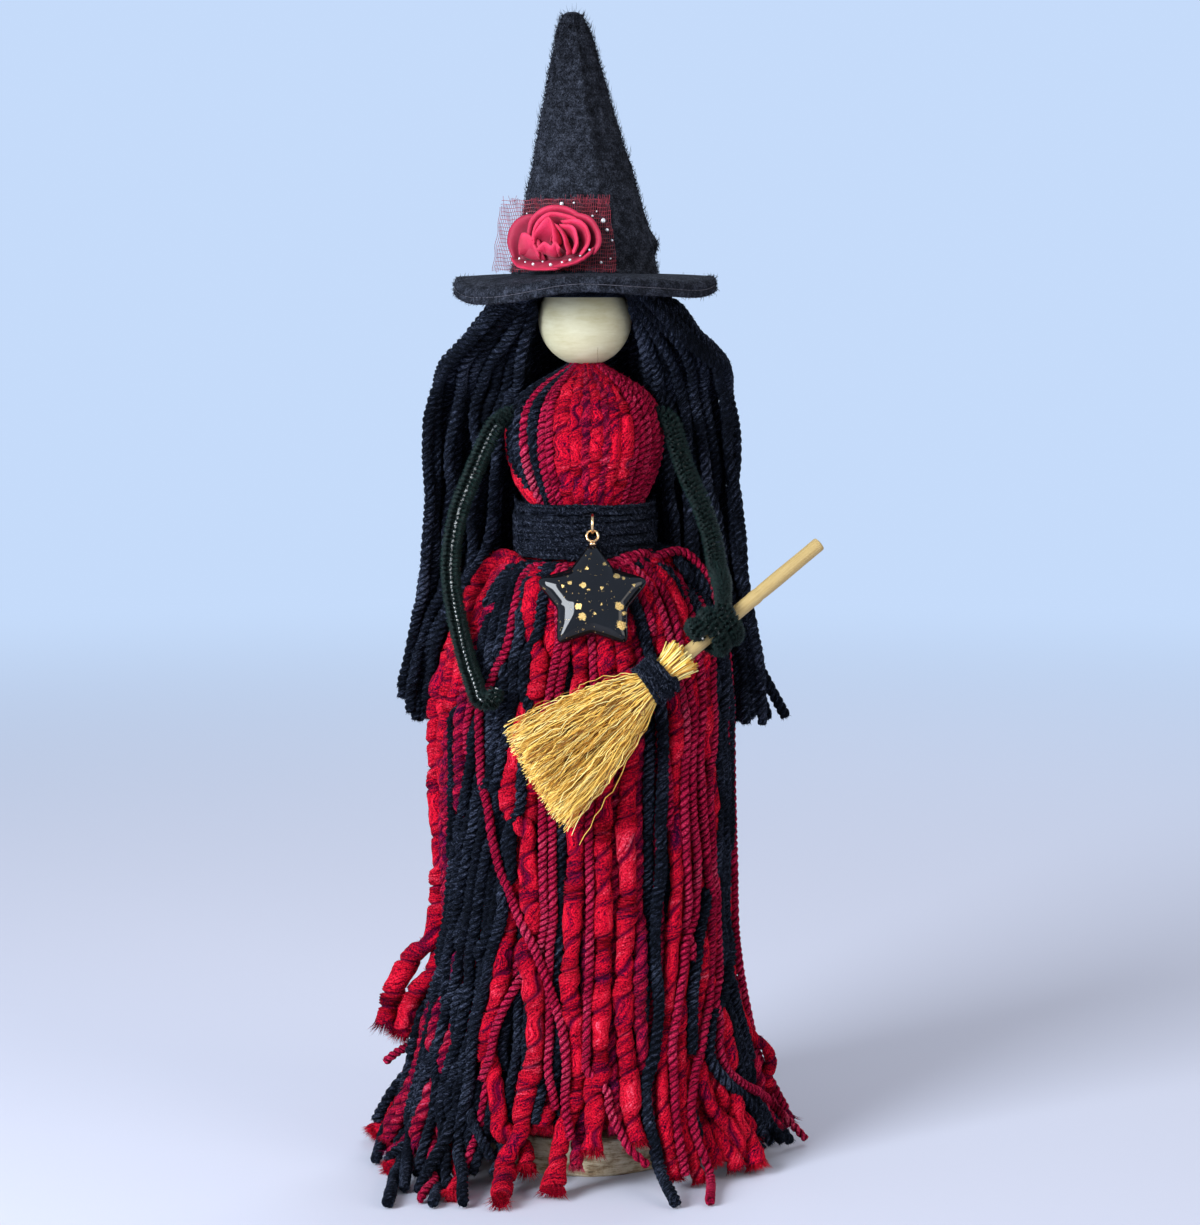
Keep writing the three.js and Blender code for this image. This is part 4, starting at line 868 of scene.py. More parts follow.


# Front strands traced: kind, radius and lift, then places in the picture from the waist down,
# as across,down
FRONT = traced("""
red 2.9 -0.3 527,553 503,560 482,582 466,616 452,655 441,690 436,735 438,790 441,850 439,905 432,938 416,952
  401,975 390,1003 386,1024;
red 2.7 -0.5 520,556 496,576 474,612 458,660 446,740 444,840 446,930 434,968 416,992 400,1014 384,1030;
red 2.6 -0.4 530,555 508,566 490,592 477,630 464,668 452,706 446,750 444,800;
black 1.7 -1.0 534,556 514,572 498,604 489,640 487,690 484,740 474,790 463,830 452,880 446,930 437,960
  427,995 418,1025 408,1058 392,1088 376,1121;
black 1.7 -0.9 540,558 520,575 508,610 502,650 500,700 496,750 484,800 470,850 459,913 446,960 428,1010
  414,1052 400,1099 386,1128 376,1160;
crimson 1.35 -0.8 545,557 528,572 517,600 508,640 494,676 481,705 481,759 487,807 498,860 512,900 528,935
  541,965 552,995 563,1029 567,1063 566,1102 570,1140;
red 2.65 -1.4 549,558 536,575 528,610 530,640 536,670 528,700 514,740 508,775 513,810 524,850 532,890
  533,937 530,976 540,1012 536,1058 526,1094 517,1131 506,1170 500,1200;
red 2.45 -2.2 556,558 548,580 549,620 545,660 535,700 528,750 520,810 505,900 492,1000 487,1058 497,1100
  508,1135 519,1170;
black 1.7 -1.2 548,562 520,590 512,640 510,700 498,760 480,820 466,870 464,913 444,966 431,1022 428,1058
  417,1107 400,1155 388,1203;
black 1.65 -1.0 530,556 506,585 494,630 490,690 490,750 485,810 478,870 469,920 456,976 441,1034 436,1085
  432,1112 418,1176;
black 1.7 -1.6 552,562 530,600 522,660 516,720 506,790 500,850 494,890 479,956 463,998 455,1046 450,1107
  440,1167 431,1214;
black 1.7 -1.2 556,562 536,610 528,680 520,750 512,830 503,900 496,940 486,985 474,1034 467,1082 459,1143
  463,1205;
black 1.6 -3.4 520,560 495,600 480,660 474,740 462,830 450,930 440,1000 450,1060 470,1110 484,1140 497,1158;
crimson 1.3 -3.0 515,557 488,580 474,620 468,680 458,722 450,771 443,800 441,860 438,930 430,985 416,1029
  400,1048 385,1062;
crimson 1.3 -3.2 518,557 494,582 480,625 474,690 463,740 452,790 446,850 444,920 442,1000 440,1080 436,1140
  420,1200;
crimson 1.3 -2.8 524,556 500,583 487,630 478,690 470,735 458,790 450,830 446,900 440,960 420,1030 408,1100
  398,1130;
red 1.8 -3.6 512,560 484,600 466,660 452,740 446,840 440,940 420,1010 398,1024 384,1028;
red 1.8 -3.8 512,560 490,620 475,720 460,850 440,980 414,1090 398,1140 385,1170;
red 1.8 -4.0 520,560 500,640 490,760 478,900 462,1050 452,1140 450,1196;
crimson 1.3 -2.0 560,558 556,590 556,650 549,700 545,760 545,840 542,913 530,965 508,1000 494,1035 486,1080;
crimson 1.3 -2.2 566,558 564,600 562,660 557,730 552,790 551,840 551,905 549,956 545,1000 548,1060 556,1110;
black 1.7 -4.2 570,560 568,640 563,700 562,800 563,900 560,990 556,1080;
red 2.6 -1.6 574,558 580,600 584,650 584,710 581,770 579,830 577,870 571,925 567,985 572,1034 574,1080
  566,1125 558,1160 553,1190;
wine 1.9 -3.0 582,558 590,610 594,680 592,760 590,850 590,930 592,1010 596,1070 586,1130 576,1168;
crimson 1.25 -1.4 586,558 590,620 594,700 596,780 593,860 591,920 590,973 587,1034 594,1075 606,1100
  626,1143 648,1166;
red 2.6 -1.4 592,558 604,610 612,680 606,750 598,810 599,850 604,900 604,960 600,1010 597,1060 592,1110
  588,1150;
red 2.6 -1.5 600,558 618,610 630,670 634,740 630,800 629,850 631,900 624,961 622,1010 628,1060 634,1110
  640,1140;
wine 2.0 -2.6 606,558 626,620 636,700 634,800 634,880 638,961 637,1010 643,1058 648,1110 652,1145;
wine 1.9 -3.4 596,558 616,640 618,740 614,850 614,960 612,1060 618,1130;
black 1.75 -0.4 612,560 634,600 650,650 660,700 664,760 661,819 661,870 656,913 655,961 659,1010 653,1053
  646,1082 648,1119 659,1167 676,1206;
black 1.6 -3.0 606,560 630,620 642,700 646,780 642,850 644,930 642,1000 640,1070;
red 1.9 -2.8 620,558 648,600 664,660 676,740 678,830 672,920 668,1000 662,1070 664,1120 672,1155 678,1178;
crimson 1.35 -1.4 604,556 634,560 658,580 674,610 684,650 692,700 690,760 692,820 697,865 694,905 686,949
  679,998 671,1046 674,1082 677,1131 684,1176;
crimson 1.35 -1.2 612,553 642,556 668,572 686,604 697,645 703,700 700,760 702,810 707,860 711,913 708,985
  703,1034 699,1062 690,1107 697,1143 710,1176 710,1202;
crimson 1.3 -1.6 600,558 626,566 650,590 664,625 676,670 684,720 682,790 684,850 688,900 690,960;
crimson 1.35 -1.6 620,551 652,552 680,568 698,596 708,640 712,700 710,780 712,860 716,930 716,1010 720,1060
  738,1082 768,1102 785,1117;
crimson 1.3 -1.8 596,560 618,574 640,604 652,650 662,700 668,760 668,830;
black 1.7 -1.8 630,549 664,550 692,568 712,600 720,650 722,720 722,800 724,860 726,937 734,1000 744,1036
  750,1058;
black 1.7 -2.4 626,553 658,560 684,584 700,620 710,690 714,780 712,860 702,913 690,1000 694,1053;
black 1.65 -1.6 634,548 672,554 700,580 718,620 726,680 728,760 730,850 728,930 716,1010 708,1052 728,1082
  766,1126;
crimson 1.3 -1.4 640,548 680,552 708,580 724,630 730,700 732,790 734,870 736,937 745,998 759,1058 775,1088
  786,1109;
red 1.8 -2.2 640,549 680,558 706,590 720,650 728,740 730,850 736,940 748,1005 770,1053 779,1084;
red 2.0 -3.0 630,556 664,590 686,660 700,760 704,870 700,980 698,1060 706,1098 730,1134 746,1154;
red 1.9 -3.2 636,556 672,590 694,660 708,770 712,900 710,1010 716,1080 736,1112 755,1132;
red 1.9 -3.4 616,560 646,610 668,700 682,820 684,940 678,1050 684,1120 692,1152 700,1180;
red 1.9 -3.8 626,560 660,620 684,720 696,850 698,980 704,1080 720,1128 736,1166;
black 1.7 -1.0 526,558 504,586 492,624 486,680 478,730 470,770 458,860 446,940 436,1000 424,1060 411,1130
  404,1188;
black 1.7 -1.3 540,558 518,590 506,640 500,700 494,780 486,860 477,930 466,1000 453,1060 444,1120 449,1190;
black 1.65 -1.6 544,560 524,600 514,660 508,730 500,800 492,870 483,940 474,1000 462,1060 452,1110 420,1192
""")


LOCK_SPAN = 360 / 14


def lock_index(turn):
    """Which of the skirt's 14 locks a turn in degrees falls in, from 0"""
    return int(((turn + LOCK_SPAN / 2) % 360) / LOCK_SPAN)


def lock_of(points):
    mean = np.mean(np.asarray(points)[len(points) // 4:], axis=0)
    turn = math.degrees(math.atan2(mean[0], -mean[1])) % 360
    return f"skirt_lock_{lock_index(turn) + 1:02d}"


def make_skirt():
    rng = np.random.default_rng(23)
    laid = []
    for kind, radius, lift, places in FRONT:
        points = [on_skirt(px, py, min(lift, -radius), radius) for px, py in places]
        first = points[0]
        points[0] = np.array([first[0], first[1], min(first[2], 162.9 - radius)])
        start = np.array([first[0] * 0.72, first[1] * 0.72, 161.4 - radius * 0.4])
        route = [start, *points]
        laid.append((lock_of(points), kind, radius, lift, route))
    # Each lock's main kind of yarn, and how much its foot flares
    kinds = ["red", "crimson", "red", "black", "crimson", "black", "red", "black", "crimson", "red", "red",
             "black", "black", "crimson"]
    flares = [0, 0, 0, 0.05, 0.12, 0.08, 0.03, 0.06, 0.04, 0.08, 0.12, 0.08, 0.17, 0.1]
    for depth, count, offset in ((0.0, 74, 0.0), (3.1, 76, 0.5), (6.0, 56, 0.25), (9.2, 44, 0.6)):
        for i in range(count):
            turn = (i + offset + rng.uniform(-0.2, 0.2)) / count * 360 % 360
            front = turn < 62 or turn > 298
            if depth == 0.0 and front:
                continue
            index = lock_index(turn)
            kind = kinds[index]
            if rng.uniform() < (0.3 if depth == 0 else 0.5):
                kind = rng.choice(["black", "crimson", "red", "wine", "black"])
            if kind == "red" and rng.uniform() < 0.35:
                kind = "wine"
            if front and (295 < turn < 345 or turn > 44) and rng.uniform() < 0.85:
                kind = "black"
            radius = YARN[kind]["radius"] * rng.uniform(0.9, 1.05)
            wander, sink = Wave(rng, 150.0, 4), Wave(rng, 80.0, 3)
            end = radius + 0.3 + (abs(rng.normal(0, 6)) if rng.uniform() < 0.6 else 0) + min(depth, 6.0) * 0.8
            if (turn < 28 or turn > 334) and depth:
                end = max(end, rng.uniform(15, 18))
            angle = math.radians(turn)
            rows = [spot(13.5, angle, 160.6)]
            heights = [161.2 - radius * 0.5, 157.5, 151, 144, 136, 126, 115, 104, 92, 80, 68, 56, 45, 35, 26,
                       18, 11, 5.5]
            for z in [h for h in heights if h > end + 3] + [end]:
                share = 1 - z / SKIRT_TOP
                spread = max(0.0, (0.299 - z / SKIRT_TOP) / 0.299) ** 2
                reach = float(skirt_radius(z, angle)) * (1 + flares[index] * spread)
                limit = 34.5 if z < 11.5 else 0.0  # outside the slice
                drop = depth * min(1.0, share * 4 + 0.15)
                r = max(reach - radius - drop - 0.8 * (1 + sink(z)) * min(1, share * 3), limit)
                t = angle + 2.6 * wander(z) * min(1, share * 2) / max(r, 15)
                rows.append(spot(r, t, z))
            node = f"skirt_lock_{index + 1:02d}" if depth < 5 else "skirt_core"
            laid.append((node, kind, radius, -2.5 - depth, rows))

    def limits(z, turn):
        return 3.6 + 0 * z, skirt_radius(np.clip(z, 0, SKIRT_TOP), turn)

    give = [0.05 if row[3] > -0.9 else 0.3 if i < len(FRONT) else 1.0 for i, row in enumerate(laid)]
    routes = spread_apart([row[4] for row in laid], [row[2] for row in laid], [row[3] for row in laid], give,
                          limits)
    for (node, kind, radius, _, _), path in zip(laid, routes):
        strand(group(node, kind), rng, path, kind, radius=radius)


make_skirt()

# One piece for each node and kind of yarn
for (node, kind), parts in groups.items():
    y = YARN[kind]
    is_hair = node.startswith("hair")
    name = node.replace("_lock", "") + ("_strands" if is_hair else f"_{kind}_strands")
    parts.build(name, y["material"], nodes=[node], slot="hair_yarn" if is_hair else y["slot"])


def revolve(parts, profile, sides, shape=None):
    """A turned surface from a closed line of radii and heights"""
    profile = np.asarray(profile, float)
    turn = np.arange(sides) / sides * TAU
    r = np.repeat(profile[:, :1], sides, axis=1)
    z = np.repeat(profile[:, 1:2], sides, axis=1)
    if shape is not None:
        r, z = shape(r, turn[None, :] + np.zeros_like(r), z)
    c = np.arange(sides)
    last = (len(profile) - 1) * sides
    ring = joined(last + c, last + (c + 1) % sides, (c + 1) % sides, c)
    quads = np.vstack([grid_faces(len(profile), sides, wrap=True), ring])
    parts.add(spots(r, turn, z), quads, None, joined(z, turn, r))


def turned(name, material, node, slot, profile, sides, shape=None, smooth=True):
    """One turned piece, built by itself"""
    part = Parts()
    revolve(part, profile, sides, shape)
    part.build(name, material, nodes=[node], slot=slot, smooth=smooth)


def arc(radius, centre, low, high, steps):
    angle = np.linspace(math.radians(low), math.radians(high), steps + 1)
    return joined(radius * np.cos(angle), centre + radius * np.sin(angle))


# Birch slice, centre stick and bodice ball
def make_slice():
    rng = np.random.default_rng(3)
    edge = Wave(rng, TAU * SLICE_R, 5)
    inside = 26.6

    def uneven(r, turn, z):
        share = np.clip(r / SLICE_R, 0, 1) ** 3
        lumps = edge(turn * SLICE_R) * 0.45 + 0.12 * np.sin(turn * 9 + z) + 0.08 * np.sin(turn * 23 + z * 2)
        return r + (lumps - 0.5) * share, z

    rows = [(inside, 0.0), (27.4, 0.05), (SLICE_R, 0.6)]
    rows += [(SLICE_R + 0.14 * math.sin(z * 2.1), z) for z in np.linspace(1.2, 8.8, 12)]
    rows += [(SLICE_R, 9.4), (27.4, 9.95), (inside, SLICE_H), (26.5, 5.0)]
    turned("birch_bark_ring", BARK, "wood_slice", "birch", rows, 160, uneven)
    low, top = 0.02, SLICE_H + 0.02
    rows = [(BORE_R, low)] + [(r, low) for r in np.linspace(8, inside, 6)]
    rows += [(r, top) for r in np.linspace(inside, 8, 7)] + [(BORE_R, top)]
    turned("birch_face", SAWN, "wood_slice", "birch", rows, 96, uneven)
    rows = [(0.01, STICK_LOW), (STICK_R, STICK_LOW), (STICK_R, STICK_TOP), (0.01, STICK_TOP)]
    turned("centre_stick", DOWEL_WOOD, "centre_dowel", "dowel_wood", rows, 32, smooth=False)
    rows = arc(BALL_R, BODICE_MID, -77, 77, 24)
    turned("bodice_ball", BALL_WOOD, "body_ball", "dowel_wood", rows, 48)


make_slice()


# Head bead and the yarn crown over it
def make_head():
    rows = list(arc(BEAD_R, HEAD, -74.7, 90, 40)) + [(0.01, HEAD + 4.5), (BORE_R, HEAD + 4.5)]
    turned("head_bead_turned", HEAD_WOOD, "head_bead", "head_wood", rows, 72)
    rng = np.random.default_rng(5)
    crown = Parts()
    revolve(crown, list(arc(13.6, HEAD, 26, 89, 12)) + list(arc(12.9, HEAD, 26, 89, 12))[::-1], 40)
    for i in range(44):
        turn = (i + rng.uniform(-0.2, 0.2)) / 44 * TAU
        slopes = [math.radians(a) for a in np.linspace(80, 30, 7)]
        rows = [spot(CROWN_R * math.cos(a), turn, HEAD + CROWN_R * math.sin(a)) for a in slopes]
        strand(crown, rng, rows, "black", radius=1.15)
    crown.build("hair_crown", BLACK, nodes=["hair_cap"], slot="hair_yarn")


make_head()


# Bodice yarn: strands over the ball, from under the bead down into the waist band
# Height over the ball's middle, and reach
BODICE_SHAPE = [(-19.5, 15.6), (-17.5, 16.4), (-15, 17.6), (-11.5, 19.0), (-7, 20.3), (-2, 20.95),
                (1, 21.0), (5, 20.4), (9, 18.6), (12, 16.2), (14.5, 13.0), (16.6, 9.8), (17.9, 7.6),
                (18.8, 6.0), (19.5, 4.9)]


def bodice_point(turn, height, radius):
    slope = along(BODICE_SHAPE, height + 0.5) - along(BODICE_SHAPE, height - 0.5)
    tilt = 1 / math.sqrt(1 + slope * slope)
    reach = along(BODICE_SHAPE, height) - radius * tilt
    return spot(reach, turn, BODICE_MID + height + radius * slope * tilt)


# Turn in degrees at mid height, kind, radius, and turn added from the top to the bottom
BODICE = [
    (-86, "black", 1.9, 0), (-76, "black", 1.9, 2), (-66, "black", 1.9, 3), (-55, "crimson", 1.5, 4),
    (-44, "black", 1.9, 4), (-35.5, "crimson", 1.45, 3), (-28.5, "crimson", 1.4, 3), (-18, "red", 3.1, 2),
    (-6, "red", 2.3, 0), (1.5, "wine", 2.0, 0), (9, "red", 2.2, -1), (16.5, "wine", 2.1, -1),
    (24, "red", 2.2, -1), (33, "red", 2.9, -2), (42.5, "crimson", 1.35, -2), (49, "crimson", 1.35, -2),
    (56, "crimson", 1.35, -2), (63.5, "crimson", 1.4, -2), (71.5, "crimson", 1.4, -1),
    (80, "crimson", 1.45, 0), (89, "crimson", 1.5, 0)]


def make_bodice():
    rng = np.random.default_rng(17)
    rows = list(BODICE)
    turn = 98.0
    while turn < 265:
        kind = "crimson" if rng.uniform() < 0.22 else "black"
        rows.append((turn, kind, 1.95 if kind == "black" else 1.5, 0))
        turn += 10.0 if kind == "black" else 8.0
    made = {}
    nodes = [(-96, -38, "bodice_black_left"), (-38, -12, "bodice_crimson_left"),
             (-12, 38, "bodice_red_front"), (38, 96, "bodice_crimson_right"), (96, 264, "bodice_black_back")]
    for turn, kind, radius, slide in rows:
        node = next((n for low, high, n in nodes if low <= turn < high), "bodice_black_back")
        wander = Wave(rng, 60.0, 3)
        route = []
        for height in (19.5, 18.8, 17.9, 16.6, 14.6, 12, 9, 6, 3, 0, -3, -6, -9, -12, -15, -17.5, -19.5):
            t = math.radians(turn + slide * (0.5 - height / 36) + 1.6 * wander(height))
            route.append(bodice_point(t, height, radius * 0.8))
        path, s = resample(route, 0.5)
        around = np.hypot(path[:, 0], path[:, 1])
        thin = radius * np.clip(around / 17.5, 0.5, 1.06) * (1 + 0.06 * Wave(rng, 14.0, 3)(s))
        y = YARN[kind]
        parts = made.setdefault((node, kind), Parts())
        seed = rng.uniform(0, 1)
        slip = 0.5 * y["twist"] * Wave(rng, 22.0, 3)(s)
        tube(parts, path, thin, y["sides"], y["plies"], y["twist"], y["groove"], seed,
             s=s + slip + rng.uniform(0, 400), thin=kind == "red")
        fuzz(parts, rng, path, thin, int(y["fuzz"] * 0.45), 1.7, seed)
    low = made.setdefault(("bodice_black_left", "red"), Parts())
    route = [bodice_point(math.radians(t), h, 0.9) for t, h in
             ((-99, 4), (-95, -1), (-87, -7), (-76, -12), (-62, -16), (-52, -19))]
    strand(low, rng, route, "red", radius=1.6, ends=False)
    core = made.setdefault(("bodice_black_back", "black"), Parts())
    rows = [(w - 1.9, BODICE_MID + z - 0.6) for z, w in BODICE_SHAPE[:-1]]
    rows += [(max(3.4, w - 3.4), BODICE_MID + z - 1.4) for z, w in BODICE_SHAPE[-2::-1]]
    revolve(core, rows, 48)
    for (node, kind), parts in made.items():
        y = YARN[kind]
        parts.build(f"{node}_{kind}_strands", y["material"], nodes=[node], slot=y["slot"])


make_bodice()


# Waist band: fine yarn wound close, parted where the ring goes through
RING = np.array([2.0, -19.0, 173.2])
RING_R = 2.6


def fibres(parts, rng, base, out, length, width, lay):
    """Short stray fibres lying on a surface"""
    n = len(base)
    side = unit(np.cross(out, rng.normal(0, 1, (n, 3))))
    reach = rng.uniform(0.3, 1, (n, 1)) * length
    tip = base + (out * 0.4 + side * rng.uniform(-1, 1, (n, 1)) * lay) * reach
    mid = (base + tip) / 2 + out * reach * 0.12
    data = np.repeat(rng.uniform(0, 1, (n, 1, 3)) * np.array([400, 0.8, 1]), 3, axis=1)
    spikes(parts, base - out * 0.1, mid, tip, width, data)


def make_band():
    rng = np.random.default_rng(29)
    low, top, hole_r = 163.5, 177.7, 3.4
    rows = [(hole_r, low), (15.5, low), (16.2, 164.0), (16.4, WOUND_HIGH), (15.5, top), (hole_r, top)]
    turned("waist_core", BAND, "waist_bundle", "black_yarn", rows, 64)
    band = Parts()
    tall = WOUND_HIGH - WOUND_LOW
    for layer, (radius, reach, turns, swing) in enumerate(((17.2, 0.75, 12, 0.5), (17.9, 0.62, 11, 1.1),
                                                           (18.3, 0.5, 9, 1.7))):
        u = np.arange(turns * 72 + 1) / 72
        z = WOUND_LOW + tall * u / turns if layer != 1 else WOUND_HIGH - tall * u / turns
        waves = [Wave(rng, 3.7, 4) for _ in range(3)]
        z = z + swing * waves[0](u) + 0.3 * waves[1](u * 3)
        z = np.clip(z, 164.1, 177.6)
        r = radius + 0.2 * waves[2](u * 2) - 0.5 * np.clip(np.abs(z - 171) / 6.6, 0, 1) ** 3
        angle = u * TAU + layer * 2
        point = spots(r, angle, z)
        for hole in (RING[2] + RING_R, RING[2] - RING_R):
            near = np.exp(-((point[:, 0] - RING[0]) / 2.0) ** 2) * (point[:, 1] < 0)
            gap = point[:, 2] - hole
            point[:, 2] += np.where(gap >= 0, 1, -1) * 1.0 * np.exp(-(gap / 1.4) ** 2) * near
        path, s = resample(point, 0.6)
        tube(band, path, reach * (1 + 0.15 * Wave(rng, 12.0, 4)(s)), 8, 2, 1.6, 0.34, 0.3 + 0.3 * layer,
             s=s + 0.8 * Wave(rng, 20.0, 3)(s))
        if layer:
            pick = rng.integers(0, len(path), 6500)
            place = path[pick]
            out = unit(place * LEVEL, 0)
            behind_star = (np.abs(place[:, :1]) < 16) & (place[:, 1:2] < 0)
            length = np.where(behind_star, 0.8, 2.2)
            fibres(band, rng, place + out * reach * 0.7, out, length, width=0.17, lay=1.7)
    band.build("waist_winding", BAND, nodes=["waist_band"], slot="band_yarn")


make_band()


# Felt hat
# Share of the cone's height, and share of its foot's reach
TAPER = [(0, 1), (0.1, 0.93), (0.33, 0.76), (0.52, 0.585), (0.73, 0.395), (0.93, 0.22), (1, 2.2 / HAT_R)]
HAT_H = HAT_TOP - HAT_BASE


def hat_radius(z):
    return HAT_R * along(TAPER, (z - HAT_BASE) / HAT_H)


def hat_shift(x, z):
    """How far the cone leans to the left, and is nipped in over the brim"""
    share = np.clip((z - HAT_BASE) / HAT_H, 0, 1)
    nip = 1.3 * np.exp(-((share - 0.11) / 0.08) ** 2)
    return nip * np.maximum(0, x / HAT_R) ** 2 - 3.4 * share ** 1.4


def make_hat():
    rng = np.random.default_rng(41)
    slow, quick = Wave(rng, 60.0, 4), Wave(rng, 17.0, 4)

    def felt(r, turn, z):
        share = np.clip((z - HAT_BASE) / HAT_H, 0, 1)
        seam = np.exp(-((turn - math.radians(20) + 0.2 * share) / 0.09) ** 2) * 1.1 * (1 - share) ** 0.3
        seam = seam * np.clip((share - 0.2) / 0.15, 0.3, 1)
        fold = 0.6 * np.exp(-((share - 0.118) / 0.024) ** 2) - 0.7 * np.exp(-((share - 0.062) / 0.022) ** 2)
        fold = fold * np.exp(-((turn - math.radians(78)) / 0.55) ** 2)
        lumps = 0.26 * slow(turn * 19 + z) + 0.2 * quick(turn * 19 - z * 1.7)
        flat = -0.5 * np.exp(-((turn - math.radians(35)) / 0.2) ** 2) * (1 - share)
        return r + (seam + fold + lumps + flat) * np.clip(r / 4, 0, 1), z

    steps, sides = 60, 120
    foot = HAT_BASE - 0.9
    rows = [(hat_radius(z), z) for z in np.linspace(foot, HAT_TOP - 0.9, steps)]
    rows += [(1.9, HAT_TOP - 0.35), (1.2, HAT_TOP), (0.01, HAT_TOP), (0.01, HAT_TOP - 4.0)]
    rows += [(max(0.01, hat_radius(z) - 2.0), z) for z in np.linspace(HAT_TOP - 5.0, foot, 30)]
    cone = Parts()
    revolve(cone, rows, sides, felt)
    p = cone.points[0]
    p[:, 0] += hat_shift(p[:, 0], p[:, 2])
    pick = p[rng.integers(0, steps * sides, 11000)]
    out = unit(pick - joined(hat_shift(0, pick[:, 2]), 0, pick[:, 2]))
    fibres(cone, rng, pick + out * 0.1, out, 1.7, width=0.1, lay=2.4)
    cone.build("hat_cone_felt", FELT, nodes=["hat_cone"], slot="black_felt")
    edge = Wave(rng, TAU * BRIM_R, 6)
    level_r = 14.8

    def sag(r, turn, z):
        reach = np.clip((r - level_r) / (BRIM_R - level_r), 0, 1.1)
        turn = (turn + math.pi) % TAU - math.pi
        drop = 0.7 + 4.0 * np.exp(-((turn + 0.86) / 0.55) ** 2) + 1.9 * np.exp(-((turn - 0.85) / 0.5) ** 2)
        wave = 0.2 * np.sin(turn * 8 + 2) * reach ** 2
        return r + 0.35 * edge(turn * BRIM_R) * reach, z - drop * reach ** 2 + wave

    low, seam_z, top = BRIM_UNDER, BRIM_UNDER + 2.04, BRIM_UNDER + 4.1
    over_seam = seam_z + 0.03
    hole_r, sides = 13.9, 144
    layers = (
        ("hat_brim_lower", "hat_brim_under", low, seam_z,
         [(34.3, low), (34.9, low + 0.5), (35.0, low + 1.2), (34.8, seam_z)]),
        ("hat_brim_upper", "hat_brim_top", over_seam, top,
         [(34.7, over_seam), (34.9, seam_z + 0.7), (34.7, seam_z + 1.6), (34.1, top)]))
    for name, node, under, over, lip in layers:
        brim = Parts()
        rows = [(hole_r, under)] + [(r, under) for r in np.linspace(17, 33.6, 8)] + lip
        rows += [(r, over) for r in np.linspace(33, 17, 7)] + [(hole_r, over)]
        revolve(brim, rows, sides, sag)
        edge_rows = brim.points[0][6 * sides:14 * sides]
        pick = edge_rows[rng.integers(0, len(edge_rows), 3600)]
        out = unit(pick * LEVEL, 0)
        fibres(brim, rng, pick, out + rng.normal(0, 0.4, out.shape), 1.2, width=0.09, lay=1.6)
        if over == top:
            turn = np.linspace(0, TAU, 361)
            r, z = sag(34.75 + 0 * turn, turn, seam_z + 0 * turn)
            z = z + 0.14 * Wave(rng, 3.0, 4)(turn)
            r = r + 0.06 + 0.08 * Wave(rng, 0.9, 4)(turn)
            line = Parts()
            tube(line, spots(r, turn, z), 0.1, 5)
            line.build("hat_brim_seam_thread", SEAM, nodes=[node], slot="black_felt")
        brim.build(name, FELT, nodes=[node], slot="black_felt")


make_hat()


# Net ribbon with glitter dots
def net_point(across, up, depth):
    """The first 15 mm stand off the cone as a flat tail, and the rest lies round it"""
    loose = 15
    z = HAT_BASE + 0.2 + up
    turn = math.radians(-35) + np.maximum(0, across - loose) / HAT_R
    r = hat_radius(z) + 1.25 + depth
    tail = np.maximum(0, loose - across)
    x = r * np.sin(turn) - tail * np.cos(turn)
    y = -r * np.cos(turn) - tail * np.sin(turn)
    return joined(x + hat_shift(x, z), y, z)


def make_net():
    rng = np.random.default_rng(53)
    net, dots = Parts(), Parts()
    wide, tall, thread = 35.0, 19.2, 0.13
    ragged = Wave(rng, 12.0, 4)
    for i, a in enumerate(np.arange(0.3, wide, 0.52)):
        top = tall - 0.8 * abs(ragged(a)) - (1.5 if a < 3 else 0)
        low = 0.6 * abs(ragged(a + 40)) - 0.4
        up = np.linspace(low, top, 18)
        lean = a + 0.25 * np.sin(up * 0.7 + i) * 0.4 + (2.2 - 0.12 * up) * (a < 9) * -0.35
        ribbon(net, net_point(lean, up, 0.25 * np.sin(up * 1.1 + a)), (1, 0, 0), thread)
    for b in np.arange(0.5, tall - 0.4, 1.0):
        a = np.linspace(0.2 + 0.7 * abs(ragged(b)), wide - 0.5 * abs(ragged(b + 9)), 60)
        ribbon(net, net_point(a, b + 0.12 * np.sin(a * 1.3), 0.25 * np.sin(b * 1.1 + a)), (0, 0, 1), thread)
    for _ in range(26):
        a = rng.uniform(1, wide) if rng.uniform() < 0.4 else rng.uniform(24, wide)
        ribbon(net, net_point(np.linspace(a, a + rng.uniform(-1, 1), 5), np.linspace(17.6, 19.8, 5), 0.2),
               (1, 0, 0), 0.09)
    for a, b, r in ((17.5, 16.6, 0.62), (20.6, 17.4, 0.66), (24.2, 17.6, 0.42), (29.3, 14.2, 0.4),
                    (32.2, 13.0, 0.85), (33.0, 10.6, 0.6), (34.0, 7.9, 0.45), (27.0, 14.2, 0.3),
                    (30.6, 15.4, 0.3), (28.8, 9.2, 0.3), (9.5, 15.0, 0.3), (5.0, 11.4, 0.25),
                    (12.0, 7.0, 0.3), (30.8, 2.2, 0.5), (33.2, 3.2, 0.35)):
        blob(dots, net_point(a, b, 0.45), r * 0.8, rng)
    net_ob = net.build("net_ribbon_threads", NET, nodes=["net_ribbon"], slot="net_thread")
    return dots


def ribbon(parts, path, across, width):
    """A flat thread, as wide as it's given along one axis"""
    path = np.asarray(path, float)
    across = np.asarray(across, float) * width / 2
    points = np.stack([path - across, path + across], axis=1)
    parts.add(points, grid_faces(len(path), 2), None, None)


